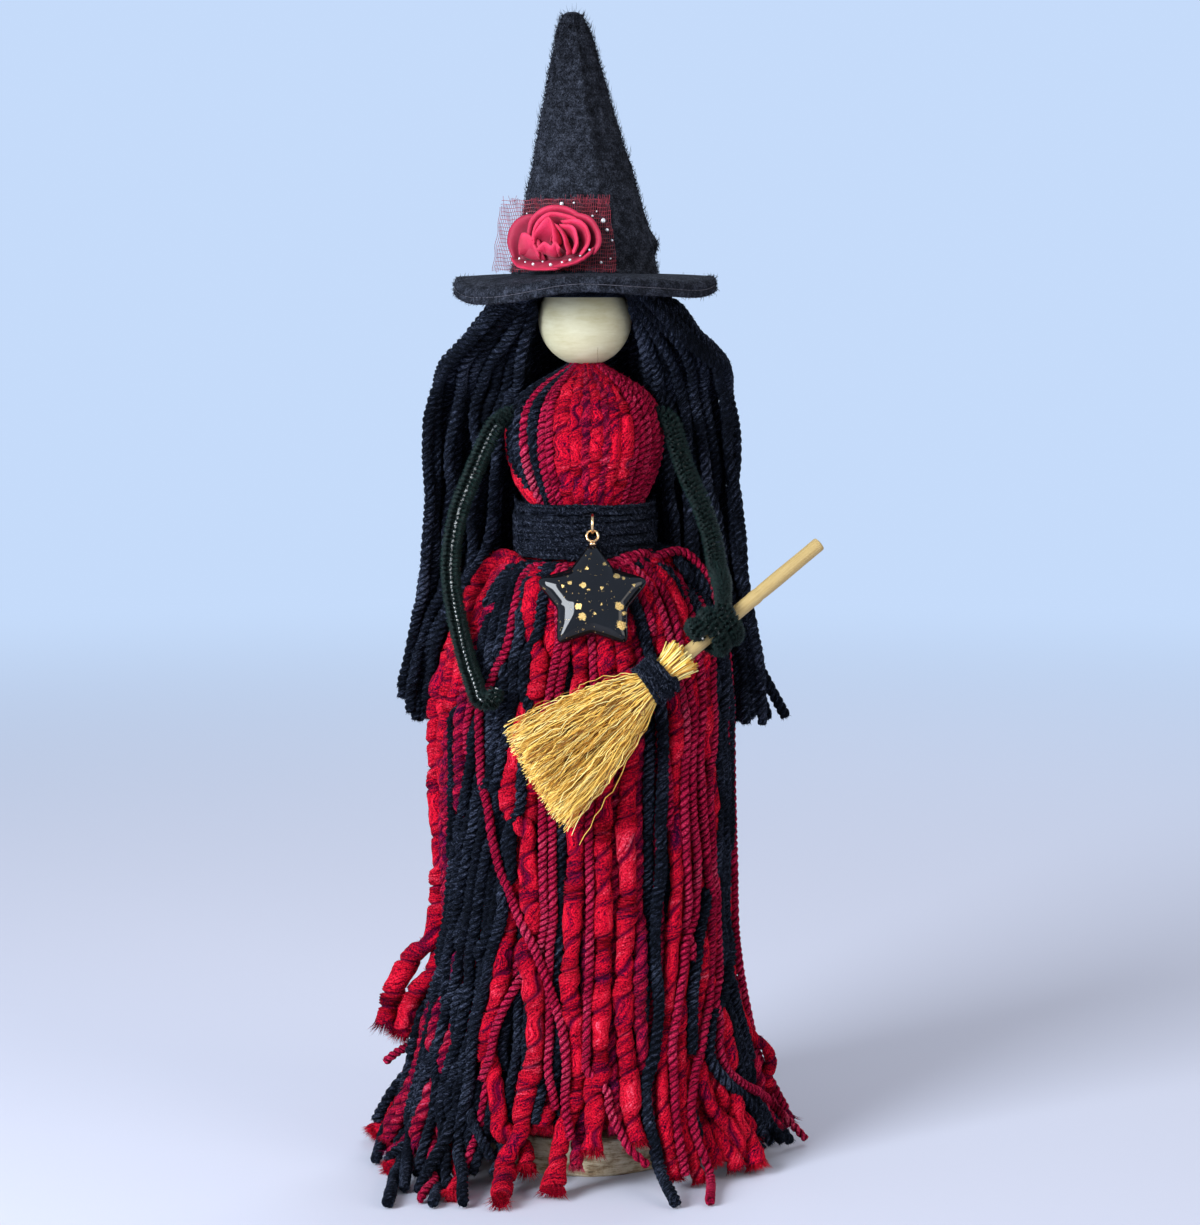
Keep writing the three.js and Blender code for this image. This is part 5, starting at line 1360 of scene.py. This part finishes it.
def blob(parts, centre, radius, rng):
    """A small uneven bead of glitter"""
    rows, sides, squash = 5, 7, 0.55
    points = []
    for i in range(rows):
        a = math.pi * (i / (rows - 1) - 0.5) * 0.98
        for j in range(sides):
            t = j / sides * TAU
            r = radius * rng.uniform(0.85, 1.15)
            flat = r * math.cos(a)
            points.append([flat * math.cos(t), r * math.sin(a) * squash, flat * math.sin(t)])
    points = np.array(points) + centre
    tris = [[0, i, i + 1] for i in range(1, sides - 1)]
    last = (rows - 1) * sides
    tris += [[last, last + i + 1, last + i] for i in range(1, sides - 1)]
    parts.add(points, grid_faces(rows, sides, wrap=True), tris, None)


glitter = make_net()


# Foam rose: a rolled spiral bud and thick curled petals
ROSE_Z = HAT_BASE + 9.2
ROSE_SEAT = hat_radius(ROSE_Z) + 0.9 + 0.2 + 0.3


def rose_place(points):
    """Local rose axes, right and up in its face and out of it, to the doll"""
    p = np.asarray(points, float)
    turn, tilt = math.radians(-22), math.radians(11)
    out = np.array([math.sin(turn), -math.cos(turn), 0])
    right = np.array([math.cos(turn), math.sin(turn), 0])
    up = np.array([0, 0, 1.0])
    face = out * math.cos(tilt) + up * math.sin(tilt)
    rise = up * math.cos(tilt) - out * math.sin(tilt)
    seat = out * ROSE_SEAT + np.array([hat_shift(0, ROSE_Z), 0, ROSE_Z])
    shape = p.shape[:-1]
    p = p.reshape(-1, 3) * np.array([1.06, 1.0, 1.0]) + np.array([0.5, -1.2, 0.0])
    made = seat + p[:, :1] * right + p[:, 1:2] * rise + p[:, 2:3] * face
    return made.reshape(*shape, 3)


def foam_sheet(parts, centre, thick, seed):
    """A thick sheet from a grid of middle points, with a rounded edge"""
    rows, cols = centre.shape[:2]
    normal = unit(np.cross(np.gradient(centre, axis=0), np.gradient(centre, axis=1)))
    half = np.full((rows, cols), thick / 2)
    row, col = np.arange(rows), np.arange(cols)
    taper = np.minimum(np.minimum(row, rows - 1 - row)[:, None], np.minimum(col, cols - 1 - col)[None])
    half = half * np.sqrt(np.clip(taper / 2.0, 0.02, 1))
    top = centre + normal * half[..., None]
    low = centre - normal * half[..., None]
    points = np.concatenate([top.reshape(-1, 3), low.reshape(-1, 3)])
    quads = grid_faces(rows, cols)
    under = grid_faces(rows, cols, offset=rows * cols)[:, ::-1]
    place = np.arange(rows * cols).reshape(rows, cols)
    edge = np.concatenate([place[0], place[1:, -1], place[-1, -2::-1], place[-2:0:-1, 0]])
    around = np.roll(edge, -1)
    rim = joined(around, edge, edge + rows * cols, around + rows * cols)
    # The height out of the rose's face goes into the data, for the rose material's painted shade low between
    # the petals
    parts.add(rose_place(points), np.vstack([quads, under, rim]), None, joined(0, points[:, 2], seed))


def leaf(parts, base, rim, bulge, thick, rng, seed, curl):
    """A petal lofted from its base line to its rim, bulging out between and rolled at the rim"""
    cols, rows = 27, 13
    base, rim = (resample(line, 0.05)[0] for line in (base, rim))
    base, rim = (line[np.linspace(0, len(line) - 1, cols).astype(int)] for line in (base, rim))
    v = np.linspace(0, 1, rows)[:, None, None]
    centre = base[None] * (1 - v) + rim[None] * v
    across = rim - base
    length = np.linalg.norm(across, axis=1)[:, None] + 1e-9
    normal = unit(np.cross(np.gradient(rim, axis=0), across))
    shape = np.sin(math.pi * v ** 0.8) * bulge
    roll = np.clip(v - 0.78, 0, 1) ** 2 * 20 * curl
    ripple = 0.1 * Wave(rng, 9.0, 3)(np.arange(cols) * 0.9)[None, :, None] * v
    centre = centre + normal[None] * (shape - roll + ripple) * np.clip(length / 4, 0.2, 1)[None]
    foam_sheet(parts, centre, thick, seed)


# Each petal's base and rim, as right,up,out in the rose's face in millimetres, then its bulge, its
# thickness and how much its rim curls
PETALS = {
    "rose_petal_outer_1": [
        ("-8.5,-5.8,0.9 -6.5,-3.5,0.9 -5,-1,0.9 -4.2,2,0.9 -3.8,4.2,0.9",
         "-10.6,-5.4,2.4 -12.3,-1.6,2.8 -12.2,2.2,3 -10.2,5.3,3 -7,6.4,2.8 -5.3,5.2,2.6", -0.9, 1.1, 0.35),
        ("-3,-5.5,1.8 -4.6,-3.8,1.8 -6.2,-3.6,1.8 -7.6,-4.2,1.8",
         "-3.2,-4.9,3.9 -5.4,0.3,4.2 -8.2,1.3,3.9 -9.2,-2,3.5 -8.9,-4.4,3.2", -0.5, 0.95, 0.3),
        ("-8.6,-4.4,1.8 -5.5,-5.6,1.8 -2,-5.6,2",
         "-7.6,-0.8,3.2 -5.6,0.6,3.5 -3.4,-0.8,3.6", 0.2, 0.9, 0.1)],
    "rose_petal_outer_2": [
        ("-5.4,-3,1 -3.6,2.6,1 0.4,4.2,1 4.6,3,1 7.4,0.4,1",
         "-6.8,-1,3.6 -6.2,4.6,4 -3,7.7,4.2 0.8,8.3,4.2 4.5,7.2,4 7.2,5.4,3.6", -1.0, 1.15, 0.6),
        ("3,3.2,1 6.2,2.2,1 8,-0.6,1 7.2,-3.2,1",
         "4.6,6.6,3.8 9,5.3,3.8 11.8,1.8,3.6 12.2,-1.6,3.4 10.6,-4.2,3.2", -1.0, 1.15, 0.6)],
    "rose_petal_outer_3": [
        ("-9.8,-5,0.9 -5,-5.2,0.9 0,-5,0.9 4.4,-5,0.9",
         "-11.2,-5,3.2 -8.4,-7.9,4.2 -3,-8.8,4.6 1.8,-8.4,4.4 3.6,-6.2,4.2", 0.5, 1.0, 0.25),
        ("2,-5.4,1.4 5.4,-4.6,1.4 8.6,-3.6,1.4",
         "1,-8,4.9 5,-7.6,4.8 9.2,-5.4,4.2 11,-2.6,3.6", 0.4, 1.0, 0.25)],
    "rose_petal_inner_1": [
        ("-3.4,-1.6,1.4 -2.6,2,1.4 0.6,3.6,1.4 4,2.8,1.4 5.6,1,1.4",
         "-4.9,-1,5 -4,3.4,5.3 -1.2,5.9,5.4 2.6,5.8,5.3 6.2,4.6,5", -0.6, 1.0, 0.45)],
    "rose_petal_inner_2": [
        ("3.2,1.8,1.4 5.8,0.8,1.4 6.6,-1.6,1.4 5.4,-3.8,1.4",
         "2.4,3.7,5.3 6.6,4.3,5.2 9.5,1.6,4.9 9.6,-1.8,4.6 7.6,-4.9,4.3", -0.7, 1.0, 0.5),
        ("3,0.8,2 4.6,-0.4,2 5,-2.2,2 4,-4,2",
         "2.2,2.8,5.9 5.6,2.4,5.8 7,-0.8,5.6 6.2,-4.6,5.2", -0.5, 0.95, 0.4)],
    "rose_bud": [
        ("-3.4,-2.2,1.2 -1.8,-3.4,1.2 0,-3,1.2 0.4,-0.6,1.2",
         "-4.5,-1.8,4.6 -4.1,1.2,5.4 -0.6,4.8,6.6 0.6,1.8,6.2 0.9,-3.2,5.6", -1.3, 0.95, 0.1),
        ("0.8,-0.6,1.2 1.6,-2.4,1.2 2.8,-3.6,1.2 4,-4,1.2",
         "1.2,3.2,6.3 3.2,1.2,6.4 4,-1.6,6 4.6,-5,5.2", -1.1, 0.95, 0.1),
        ("-2.6,-3.4,1.6 -1,-4.4,1.6 1.2,-4.6,1.6 2.4,-4,1.6",
         "-3.6,-3.6,5.4 -1.6,-1.6,5.8 0.6,-2.6,6 1.6,-1.6,6 3,-3.2,5.6", 0.5, 0.9, 0.1)]}


def make_rose():
    """Petals, widest first, and the bud last with its rolled heart and its backing disc"""
    rng = np.random.default_rng(61)
    for k, (node, leaves) in enumerate(PETALS.items()):
        part = Parts()
        for base, rim, bulge, thick, curl in leaves:
            leaf(part, places_in(base.split()), places_in(rim.split()), bulge, thick, rng, k / 7, curl)
        if node == "rose_bud":
            v = np.linspace(0, 1, 7)[:, None]
            u = np.linspace(0, 1, 46)[None]
            turn = math.radians(60) + u * TAU * 1.4
            r = (0.4 + 1.7 * u) * (1 - 0.2 * v)
            x, y, z = 0.7 + r * np.cos(turn) * 0.7, -0.4 + r * np.sin(turn), 1.2 + v * (3.6 - 0.8 * u)
            foam_sheet(part, joined(x, y, z), 0.8, seed=0.4)
            # A backing disc low in the rose's face, which the rose material paints dark as shade
            disc = np.linspace(0, 1, 9)[:, None]
            around = np.linspace(0, TAU, 33)[None]
            x, y = disc * 8.6 * np.cos(around), disc * 5.4 * np.sin(around) - 0.4
            foam_sheet(part, joined(x, y, 1.0), 0.8, seed=0.7)
        name = "rose_foam_bud" if node == "rose_bud" else node.replace("petal", "foam_petal")
        part.build(name, FOAM, nodes=[node], slot="rose_foam")


make_rose()


# Jump ring, eye pin and resin star
def torus(parts, centre, axis, radius, wire, rings):
    sides = 12
    axis = unit(axis, 0)
    a = unit(np.cross(axis, square_to(axis)), 0)
    b = np.cross(axis, a)
    angle = np.arange(rings) / rings * TAU
    out = np.cos(angle)[:, None] * a + np.sin(angle)[:, None] * b
    turn = np.arange(sides) / sides * TAU
    round_wire = np.cos(turn)[None, :, None] * out[:, None] + np.sin(turn)[None, :, None] * axis
    r, c = np.meshgrid(np.arange(rings), np.arange(sides), indexing="ij")
    here, ahead, across = r * sides, (r + 1) % rings * sides, (c + 1) % sides
    quads = joined(here + c, ahead + c, ahead + across, here + across)
    parts.add(centre + radius * out[:, None] + wire * round_wire, quads.reshape(-1, 4))


LEAN = math.radians(21)
CHARM_UP = np.array([0, math.sin(LEAN), math.cos(LEAN)])
CHARM_OUT = np.array([0, -math.cos(LEAN), math.sin(LEAN)])
# Heights down the charm from the jump ring's middle, and the star's reach to its tips
EYE_MID, PIN_TOP, STAR_MID = -3.2, -4.7, -19.7626
STAR_R = 14.75


def charm_place(points):
    """Charm axes, right, up and out of its face from the jump ring's middle, to the doll"""
    p = np.asarray(points, float)
    return RING + p[..., :1] * np.array([1.0, 0, 0]) + p[..., 1:2] * CHARM_UP + p[..., 2:3] * CHARM_OUT


def star_radius(turn):
    """A five pointed outline with softened tips and hollows, zero at the top tip"""
    fine = np.linspace(0, TAU, 1441)[:-1]
    fold = np.abs((fine + math.pi / 5) % (TAU / 5) - math.pi / 5)
    tip, hollow = 16.0, 9.7
    half = math.pi / 5
    x0, y0 = tip, 0.0
    x1, y1 = hollow * math.cos(half), hollow * math.sin(half)
    nx, ny = y1 - y0, x0 - x1
    r = (nx * x0 + ny * y0) / (nx * np.cos(fold) + ny * np.sin(fold))
    kernel = np.exp(-0.5 * (np.arange(-40, 41) / 15.0) ** 2)
    kernel /= kernel.sum()
    r = np.convolve(np.concatenate([r[-40:], r, r[:40]]), kernel, "valid")
    r = r * STAR_R / r.max()
    return np.interp(np.asarray(turn) % TAU, fine, r, period=TAU)


def make_charm():
    ring = Parts()
    torus(ring, RING, (1, 0, 0), RING_R, 0.4, 64)
    ring.build("jump_ring_wire", GOLD, body="ring", nodes=["jump_ring"], slot="gold_metal")
    pin = Parts()
    torus(pin, charm_place([0, EYE_MID, 0]), CHARM_OUT, 1.5, 0.36, 40)
    stem = charm_place([[0.0, y, 0.0] for y in np.linspace(PIN_TOP + 0.05, PIN_TOP - 4.0, 10)])
    tube(pin, stem, 0.36, 12)
    cup = charm_place([[0.0, PIN_TOP - y, 0.0] for y in (0.28, 0.4, 0.8, 1.2)])
    tube(pin, cup, [0.5, 0.8, 0.95, 0.7], 16)
    pin.build("star_eye_pin", GOLD, body="star", nodes=["eye_pin"], slot="gold_metal")
    star = Parts()
    profile = np.array([(0.004, 2.72), (0.12, 2.69), (0.24, 2.62), (0.35, 2.51), (0.45, 2.37), (0.54, 2.2),
                        (0.62, 2.01), (0.69, 1.81), (0.75, 1.6), (0.8, 1.39), (0.85, 1.14), (0.89, 0.89),
                        (0.925, 0.62), (0.955, 0.32), (0.978, 0.02), (0.992, -0.3), (1.0, -0.75),
                        (0.998, -1.2), (0.985, -1.7), (0.96, -2.05), (0.92, -2.32), (0.86, -2.46),
                        (0.5, -2.5), (0.004, -2.5)])
    sides = 240
    turn = np.arange(sides) / sides * TAU
    share, z = profile[:, :1], profile[:, 1:]
    x = share * star_radius(turn) * np.sin(turn)
    y = share * star_radius(turn) * np.cos(turn)
    face = np.where(z > -0.3, 1.0, 0.0)
    star.add(charm_place(joined(x, y + STAR_MID, z)), grid_faces(len(profile), sides, wrap=True)[:, ::-1],
             None, joined(x, y, face))
    star.build("resin_star", RESIN, body="star", nodes=["star_charm"], slot="star_resin")


make_charm()


# Chenille: a twisted pair of wires with a double fan of pile, one rib to each half twist
CHENILLE_TWIST = 2.5
CORE = 0.28
PILE_R, PILE_END_R = 2.95, 2.3
ARM_ROOT, ARM_OUT, ARM_AHEAD, ARM_DOWN = 20, 16, 26, 73.4
ROOT_DEEP = -4.0
COIL_R, COIL_PITCH = 4.2, 4.3


def chenille(pile, wires, rng, route, radius, bare=None, per_mm=190, near=None):
    """Bare is how much of the pile is missing at a length, and near shortens pile that is pressed"""
    path, s = resample(route, 0.25)
    tangent, normal, side = frames(path)
    total = s[-1]
    for half in (0, math.pi):
        a = TAU * s / CHENILLE_TWIST + half
        offset = (normal * np.cos(a)[:, None] + side * np.sin(a)[:, None]) * CORE
        tube(wires, path + offset, CORE * 1.05, 6, s=s)
    count = int(total * per_mm)
    place = rng.uniform(0, total, count)
    index = np.clip((place / total * (len(path) - 1)).astype(int), 0, len(path) - 1)
    stray = rng.normal(0, 0.42, count)
    angle = TAU * s[index] / CHENILLE_TWIST + rng.integers(0, 2, count) * math.pi + stray
    out = normal[index] * np.cos(angle)[:, None] + side[index] * np.sin(angle)[:, None]
    reach = np.interp(place, s, np.broadcast_to(radius, s.shape)) * rng.uniform(0.82, 1.04, count)
    longer = rng.uniform(0, 1, count) < 0.02
    reach = np.where(longer, reach * rng.uniform(1.05, 1.2, count), reach)
    if near is not None:
        reach = near(path[index], out, reach)
    if bare is not None:
        facing = unit(np.array([0, -1.0, 0]) + tangent[index] * tangent[index][:, 1:2])
        lined = np.sum(out * facing, axis=1)
        dash = np.cos(place / CHENILLE_TWIST * 2 * TAU) > -0.1
        keep = ~((lined > 0.84) & (rng.uniform(0, 1, count) < bare(place)) & ~dash)
        reach = np.where((lined > 0.78) & (bare(place) > 0.5), reach * 0.45, reach)
        index, out, reach, stray = (row[keep] for row in (index, out, reach, stray))
        count = len(index)
    flow = tangent[index] * rng.normal(0, 0.12, (count, 1))
    across = np.cross(out, tangent[index])
    bend = across * rng.normal(0, 0.1, (count, 1)) * reach[:, None]
    base = path[index] + out * 0.12
    mid = path[index] + (out + flow * 0.4) * (reach * 0.7)[:, None] + bend * 0.4
    tip = path[index] + (out + flow) * reach[:, None] + bend
    # Painted shade: pile that strays from a rib's middle is darkened, and the middle data value runs from
    # root to tip for painted shade at the roots
    painted_rib_shade = np.clip(np.abs(stray) * 1.6 - 0.1 + rng.normal(0, 0.12, count), 0, 1)
    spikes(pile, base, mid, tip, 0.3, joined(0, [[0.05, 0.6, 1.0]], painted_rib_shade[:, None]))


# Shares of the arm's reach outwards, forwards and down
def from_shoulder(way, shares):
    return [way * (ARM_ROOT + shares[0] * ARM_OUT), ROOT_DEEP - shares[1] * ARM_AHEAD,
            SHOULDER_Z - shares[2] * ARM_DOWN]


LEFT_ARM = [[0, 0, 0], [0.21, 0.06, 0.03], [0.375, 0.115, 0.09], [0.65, 0.155, 0.23], [0.84, 0.19, 0.34],
            [0.956, 0.21, 0.467], [0.97, 0.27, 0.59], [0.85, 0.47, 0.73], [0.69, 0.76, 0.855],
            [0.54, 0.95, 0.94], [0.45, 1.03, 0.986], [0.25, 1.07, 0.99], [0.175, 1.07, 0.947]]
RIGHT_ARM = [[0, 0, 0], [0.19, 0.06, 0.03], [0.27, 0.115, 0.09], [0.44, 0.19, 0.203],
             [0.67, 0.27, 0.314], [0.84, 0.385, 0.425], [0.93, 0.52, 0.536]]
HAND = np.array(from_shoulder(1, [0.85, 1.01, 0.747]))
TIP, SPIN = math.radians(90 - 37.4), math.radians(16.6)
HAND_X = np.array([math.cos(SPIN) * math.cos(TIP), math.sin(SPIN) * math.cos(TIP), -math.sin(TIP)])
HAND_Y = np.array([-math.sin(SPIN), math.cos(SPIN), 0.0])
HAND_Z = np.cross(HAND_X, HAND_Y)


def in_hand(points):
    p = np.asarray(points, float)
    return HAND + p[..., :1] * HAND_X + p[..., 1:2] * HAND_Y + p[..., 2:3] * HAND_Z


def coil_at(turns):
    angle = math.radians(-112) + turns * TAU
    return [COIL_R * math.cos(angle), COIL_R * math.sin(angle), COIL_PITCH * (1 - turns)]


def make_arms():
    rng = np.random.default_rng(71)
    coil = np.array([coil_at(t) for t in np.linspace(0, 2, 49)])
    back = unit(coil[0] - np.array(coil_at(1 / 24)), 0)
    wrist = [[35.9, -24.6, 157.4], list(in_hand(coil[0] + back * 2.6))]
    for label, way, rows in (("left", -1, LEFT_ARM), ("right", 1, RIGHT_ARM)):
        route = [[way * 14.7, ROOT_DEEP, SHOULDER_Z]] + [from_shoulder(way, r) for r in rows]
        if way > 0:
            route += wrist
        pile, wires = Parts(), Parts()
        steps = resample(route, 0.25)[1]
        thins_from, there = (0.83, PILE_R) if way > 0 else (0.97, 2.9)
        radius = np.interp(steps, (0, steps[-1] * thins_from, steps[-1]), (PILE_R, there, PILE_END_R))
        bare = (lambda place: np.where((place > 10) & (place < 92), 0.93, 0.1)) if way < 0 else None
        chenille(pile, wires, rng, route, radius, bare=bare)
        pile.build(f"{label}_arm_chenille", PILE, body=f"{label}_arm", nodes=[f"{label}_arm_pile"],
                   slot="chenille_pile")
        wires.build(f"{label}_arm_twisted_wire", WIRE, body=f"{label}_arm", nodes=[f"{label}_arm_wire"],
                    slot="core_wire")
    pile, wires = Parts(), Parts()

    def clear(point, out, reach):
        """Pile pressed short against the broom handle"""
        local = point - HAND
        x, y = local @ HAND_X, local @ HAND_Y
        toward = -(out @ HAND_X * x + out @ HAND_Y * y) / np.hypot(x, y)
        return np.where(toward > 0.25, np.minimum(reach, 1.85), reach)

    lead = [list(coil[0] + back * 3.4), list(coil[0] + back * 1.6)]
    chenille(pile, wires, rng, in_hand(np.vstack([lead, coil[::2]])), 2.9, near=clear, per_mm=230)
    pile.build("hand_coil_chenille", PILE, body="right_arm", nodes=["hand_coil"], slot="chenille_pile")
    wires.build("hand_coil_twisted_wire", WIRE, body="right_arm", nodes=["right_arm_wire"], slot="core_wire")


make_arms()


# Broom
# Heights along the broom from the middle of the hand's coil, and the band's reach both ways
BROOM_TOP, TUFT_LOW, FAN_HIGH, FAN_LOW = -15.8, -19.3, -19.6, -23.4
HANDLE_R, HANDLE_TOP = 1.9, 36.1
FAN_LENGTH, TUFT_LENGTH = 38.2, 6.4
BRISTLES, STUBS = 1400, 420
BOUND_WIDE, BOUND_DEEP = 4.1, 3.7


def make_broom():
    rng = np.random.default_rng(83)
    handle = Parts()
    z = np.linspace(TUFT_LOW, HANDLE_TOP, 60)
    knot = 0.14 * np.exp(-((z - 14.0) / 0.8) ** 2) - 0.1 * np.exp(-((z - 15.6) / 0.6) ** 2)
    r = HANDLE_R + knot + 0.03 * np.sin(z * 0.35)
    rows = [(0.01, TUFT_LOW), *zip(r, z), (1.75, 36.45), (0.9, 36.5), (0.75, 36.2), (0.01, HANDLE_TOP)]
    r, z = np.array(rows)[:, :1], np.array(rows)[:, 1:]
    sides = 28
    turn = np.arange(sides) / sides * TAU
    handle.add(in_hand(joined(r * np.cos(turn), r * np.sin(turn), z)),
               grid_faces(len(rows), sides, wrap=True), None, joined(z, turn, 0))
    handle.build("broom_bamboo_handle", BAMBOO, body="broom", nodes=["broom_handle"], slot="bamboo")

    fan = Parts()
    for _ in range(BRISTLES):
        turn = rng.uniform(0, TAU)
        out = math.sqrt(rng.uniform(0.0, 1))
        x, y = 3.85 * out * math.cos(turn), 3.45 * out * math.sin(turn)
        length = FAN_LENGTH * (1 + 0.055 * x / BOUND_WIDE) * (1 - 0.09 * abs(rng.normal(0, 0.6)))
        stray = rng.uniform() < 0.06
        if stray or rng.uniform() < 0.18:
            length *= rng.uniform(0.4, 1.0)
        share = length / 37
        ex = x * (1 + 2.9 * share) * rng.uniform(0.9, 1.08) + rng.normal(0, 1.2) * (2.2 if stray else 0.6)
        ey = y * (1 + 0.9 * share) * rng.uniform(0.8, 1.1) + rng.normal(0, 0.9) * (1.9 if stray else 0.6)
        count = 17
        t = np.linspace(0, 1, count)[:, None]
        bow = rng.normal(0, 0.6, 2)
        start = np.array([x, y, FAN_HIGH + 4.2])
        knee = np.array([x, y, FAN_LOW + 2.0])
        end = np.array([ex, ey, FAN_LOW - length])
        lower = knee + (end - knee) * t
        lower[:, 0] += bow[0] * np.sin(math.pi * t[:, 0]) + (x * 0.35) * np.sin(math.pi * t[:, 0])
        lower[:, 1] += bow[1] * np.sin(math.pi * t[:, 0])
        crinkle = np.cumsum(rng.normal(0, 0.26, (count, 2)), axis=0) * t ** 0.5
        crinkle += rng.normal(0, 0.3, (count, 2)) * np.minimum(1, t * 3)
        lower[:, :2] += crinkle
        path = np.vstack([start[None], lower])
        thick = rng.uniform(0.11, 0.19) * np.concatenate([[1], np.linspace(1, 0.6, count)])
        # Bristles nearer the fan's middle get lower seeds, which the bristle colour paints darker as shade
        tube(fan, in_hand(path), thick, 4, seed=rng.uniform(0, 1) * (0.35 + 0.65 * out))
    # A solid core in the fan's middle, with a low seed that paints it dark as shade between the bristles
    core = [in_hand([0, 0, z]) for z in (FAN_HIGH + 0.2, FAN_LOW, FAN_LOW - 12)]
    tube(fan, core, [3.3, 3.3, 3.2], 12, seed=0.2)
    fan.build("broom_bristle_fan", BRISTLE, body="broom", nodes=["broom_bristles"], slot="bristle_fibre")

    tuft = Parts()
    for _ in range(STUBS):
        turn = rng.uniform(0, TAU)
        out = rng.uniform(0.62, 1)
        x, y = 3.9 * out * math.cos(turn), 3.5 * out * math.sin(turn)
        if math.hypot(x, y) < 2.35:
            continue
        length = TUFT_LENGTH * rng.uniform(0.55, 1.04)
        spread = 1 + 0.34 * length / 6 + rng.normal(0, 0.12)
        half = 1 + (spread - 1) * 0.4
        path = [[x, y, TUFT_LOW], [x, y, BROOM_TOP], [x * half, y * half, BROOM_TOP + length * 0.5],
                [x * spread, y * spread, BROOM_TOP + length]]
        tube(tuft, in_hand(path), rng.uniform(0.13, 0.24), 4, seed=rng.uniform(0, 1))
    tuft.build("broom_stub_bristles", BRISTLE, body="broom", nodes=["broom_tuft"], slot="bristle_fibre")

    band = Parts()
    for way, reach, turns, low, high, start in ((-1, 0.25, 5.2, -23.0, -16.2, 0.0),
                                                (1, 0.95, 4.2, -22.4, -16.9, 2.1)):
        u = np.linspace(0, 1, int(turns * 40))
        angle = start + u * turns * TAU * way
        z = low + (high - low) * u + 0.5 * Wave(rng, 1.4, 3)(u * 3)
        rows = in_hand(joined((BOUND_WIDE + 0.35 + reach) * np.cos(angle),
                              (BOUND_DEEP + 0.35 + reach) * np.sin(angle), z))
        strand(band, rng, rows, "black", radius=0.72, step=0.4, ends=False)
        pick = rng.integers(0, len(rows), 1500)
        out = unit(rows[pick] - in_hand(joined(0, 0, z))[pick], 0)
        fibres(band, rng, rows[pick] + out * 0.55, out, 1.4, width=0.12, lay=1.5)
    band.build("broom_band_yarn", BAND, body="broom", nodes=["broom_band"], slot="band_yarn")


make_broom()


# Glitter caught on the rose's lower petals, and on the net
rng = np.random.default_rng(97)
for x, y, z, r in ((-8.2, -5.6, 4.4, 0.3), (-6.4, -6.6, 4.8, 0.26), (-4.2, -7.2, 5.0, 0.42),
                   (-1.6, -6.6, 5.2, 0.3), (0.6, -7.4, 5.3, 0.44), (3.6, -6.8, 5.4, 0.3),
                   (5.6, -6.2, 5.2, 0.4), (8.0, -5.0, 4.8, 0.26), (10.2, -3.4, 4.4, 0.3)):
    blob(glitter, rose_place([x, y, z]), r, rng)
glitter.build("net_glitter_dots", GLITTER, slot="net_thread")


# Floor, light and background
SHOWN_TO = ("Is Camera Ray", "Is Glossy Ray", "Is Transmission Ray")


def stage_material(name, color, far):
    """A pale floor that fades into the background colour far from the doll"""
    m = Nodes(name)
    place = m.place()
    vary = m.noise(place, 1.5, 2.0, 0.5)
    m.set(Base_Color=m.ramp(vary, [(0.3, color), (0.7, tuple(c * 0.985 for c in color))]), Roughness=0.9,
          Specular_IOR_Level=0.1)
    away = m.vector("LENGTH", place)
    fade = m.add("MapRange", {0: (away, "Value"), 1: 0.18, 2: 1.5}, interpolation_type="SMOOTHSTEP")
    path = m.add("LightPath")
    seen = m.math("MAXIMUM", (path, SHOWN_TO[0]), m.math("MAXIMUM", (path, SHOWN_TO[1]), (path, SHOWN_TO[2])))
    glow = m.add("Emission", {"Color": (*far, 1), "Strength": 1.0})
    both = m.add("MixShader", {0: m.math("MULTIPLY", fade, seen), 1: m.shader, 2: glow})
    m.tree.links.new(both.outputs[0], m.tree.nodes["Material Output"].inputs["Surface"])
    return m.mat


BACKDROP = (0.56, 0.71, 0.96)
floor_mesh = bpy.data.meshes.new("floor")
floor_mesh.from_pydata([(-6, -6, 0), (6, -6, 0), (6, 6, 0), (-6, 6, 0)], [], [(0, 1, 2, 3)])
floor = bpy.data.objects.new("floor", floor_mesh)
bpy.context.collection.objects.link(floor)
floor_mesh.materials.append(stage_material("pale_floor", (0.66, 0.68, 0.8), BACKDROP))

world = bpy.data.worlds.new("studio")
bpy.context.scene.world = world
world.use_nodes = True
tree = world.node_tree
rays = tree.nodes.new("ShaderNodeLightPath")


def sky(color, strength):
    node = tree.nodes.new("ShaderNodeBackground")
    node.inputs["Color"].default_value = (*color, 1)
    node.inputs["Strength"].default_value = strength
    return node


def choose(seen, a, b):
    node = tree.nodes.new("ShaderNodeMixShader")
    tree.links.new(rays.outputs[seen], node.inputs[0])
    tree.links.new(a.outputs[0], node.inputs[1])
    tree.links.new(b.outputs[0], node.inputs[2])
    return node


seen = sky((0.86, 0.91, 1.0), 0.4)
backdrop = sky(BACKDROP, 1.0)
for ray in SHOWN_TO:
    seen = choose(ray, seen, backdrop)
tree.links.new(seen.outputs[0], tree.nodes["World Output"].inputs["Surface"])


def lamp(name, place, target, size, power, color):
    data = bpy.data.lights.new(name, "AREA")
    data.shape = "RECTANGLE"
    data.size, data.size_y = size
    data.energy = power
    data.color = color
    ob = bpy.data.objects.new(name, data)
    bpy.context.collection.objects.link(ob)
    ob.location = place
    ob.rotation_euler = (Vector(target) - Vector(place)).to_track_quat("-Z", "Y").to_euler()


lamp("window", (-0.7, -0.75, 0.5), (0, 0, 0.15), (0.45, 0.65), 19.0, (0.88, 0.94, 1.0))
lamp("fill", (0.9, -0.7, 0.45), (0, 0, 0.15), (0.6, 0.6), 4.0, (1.0, 0.92, 0.82))
lamp("rim", (0.3, 0.9, 0.9), (0, 0, 0.2), (0.6, 0.5), 4.0, (0.9, 0.94, 1.0))

scene = bpy.context.scene
scene.view_settings.view_transform = "Standard"
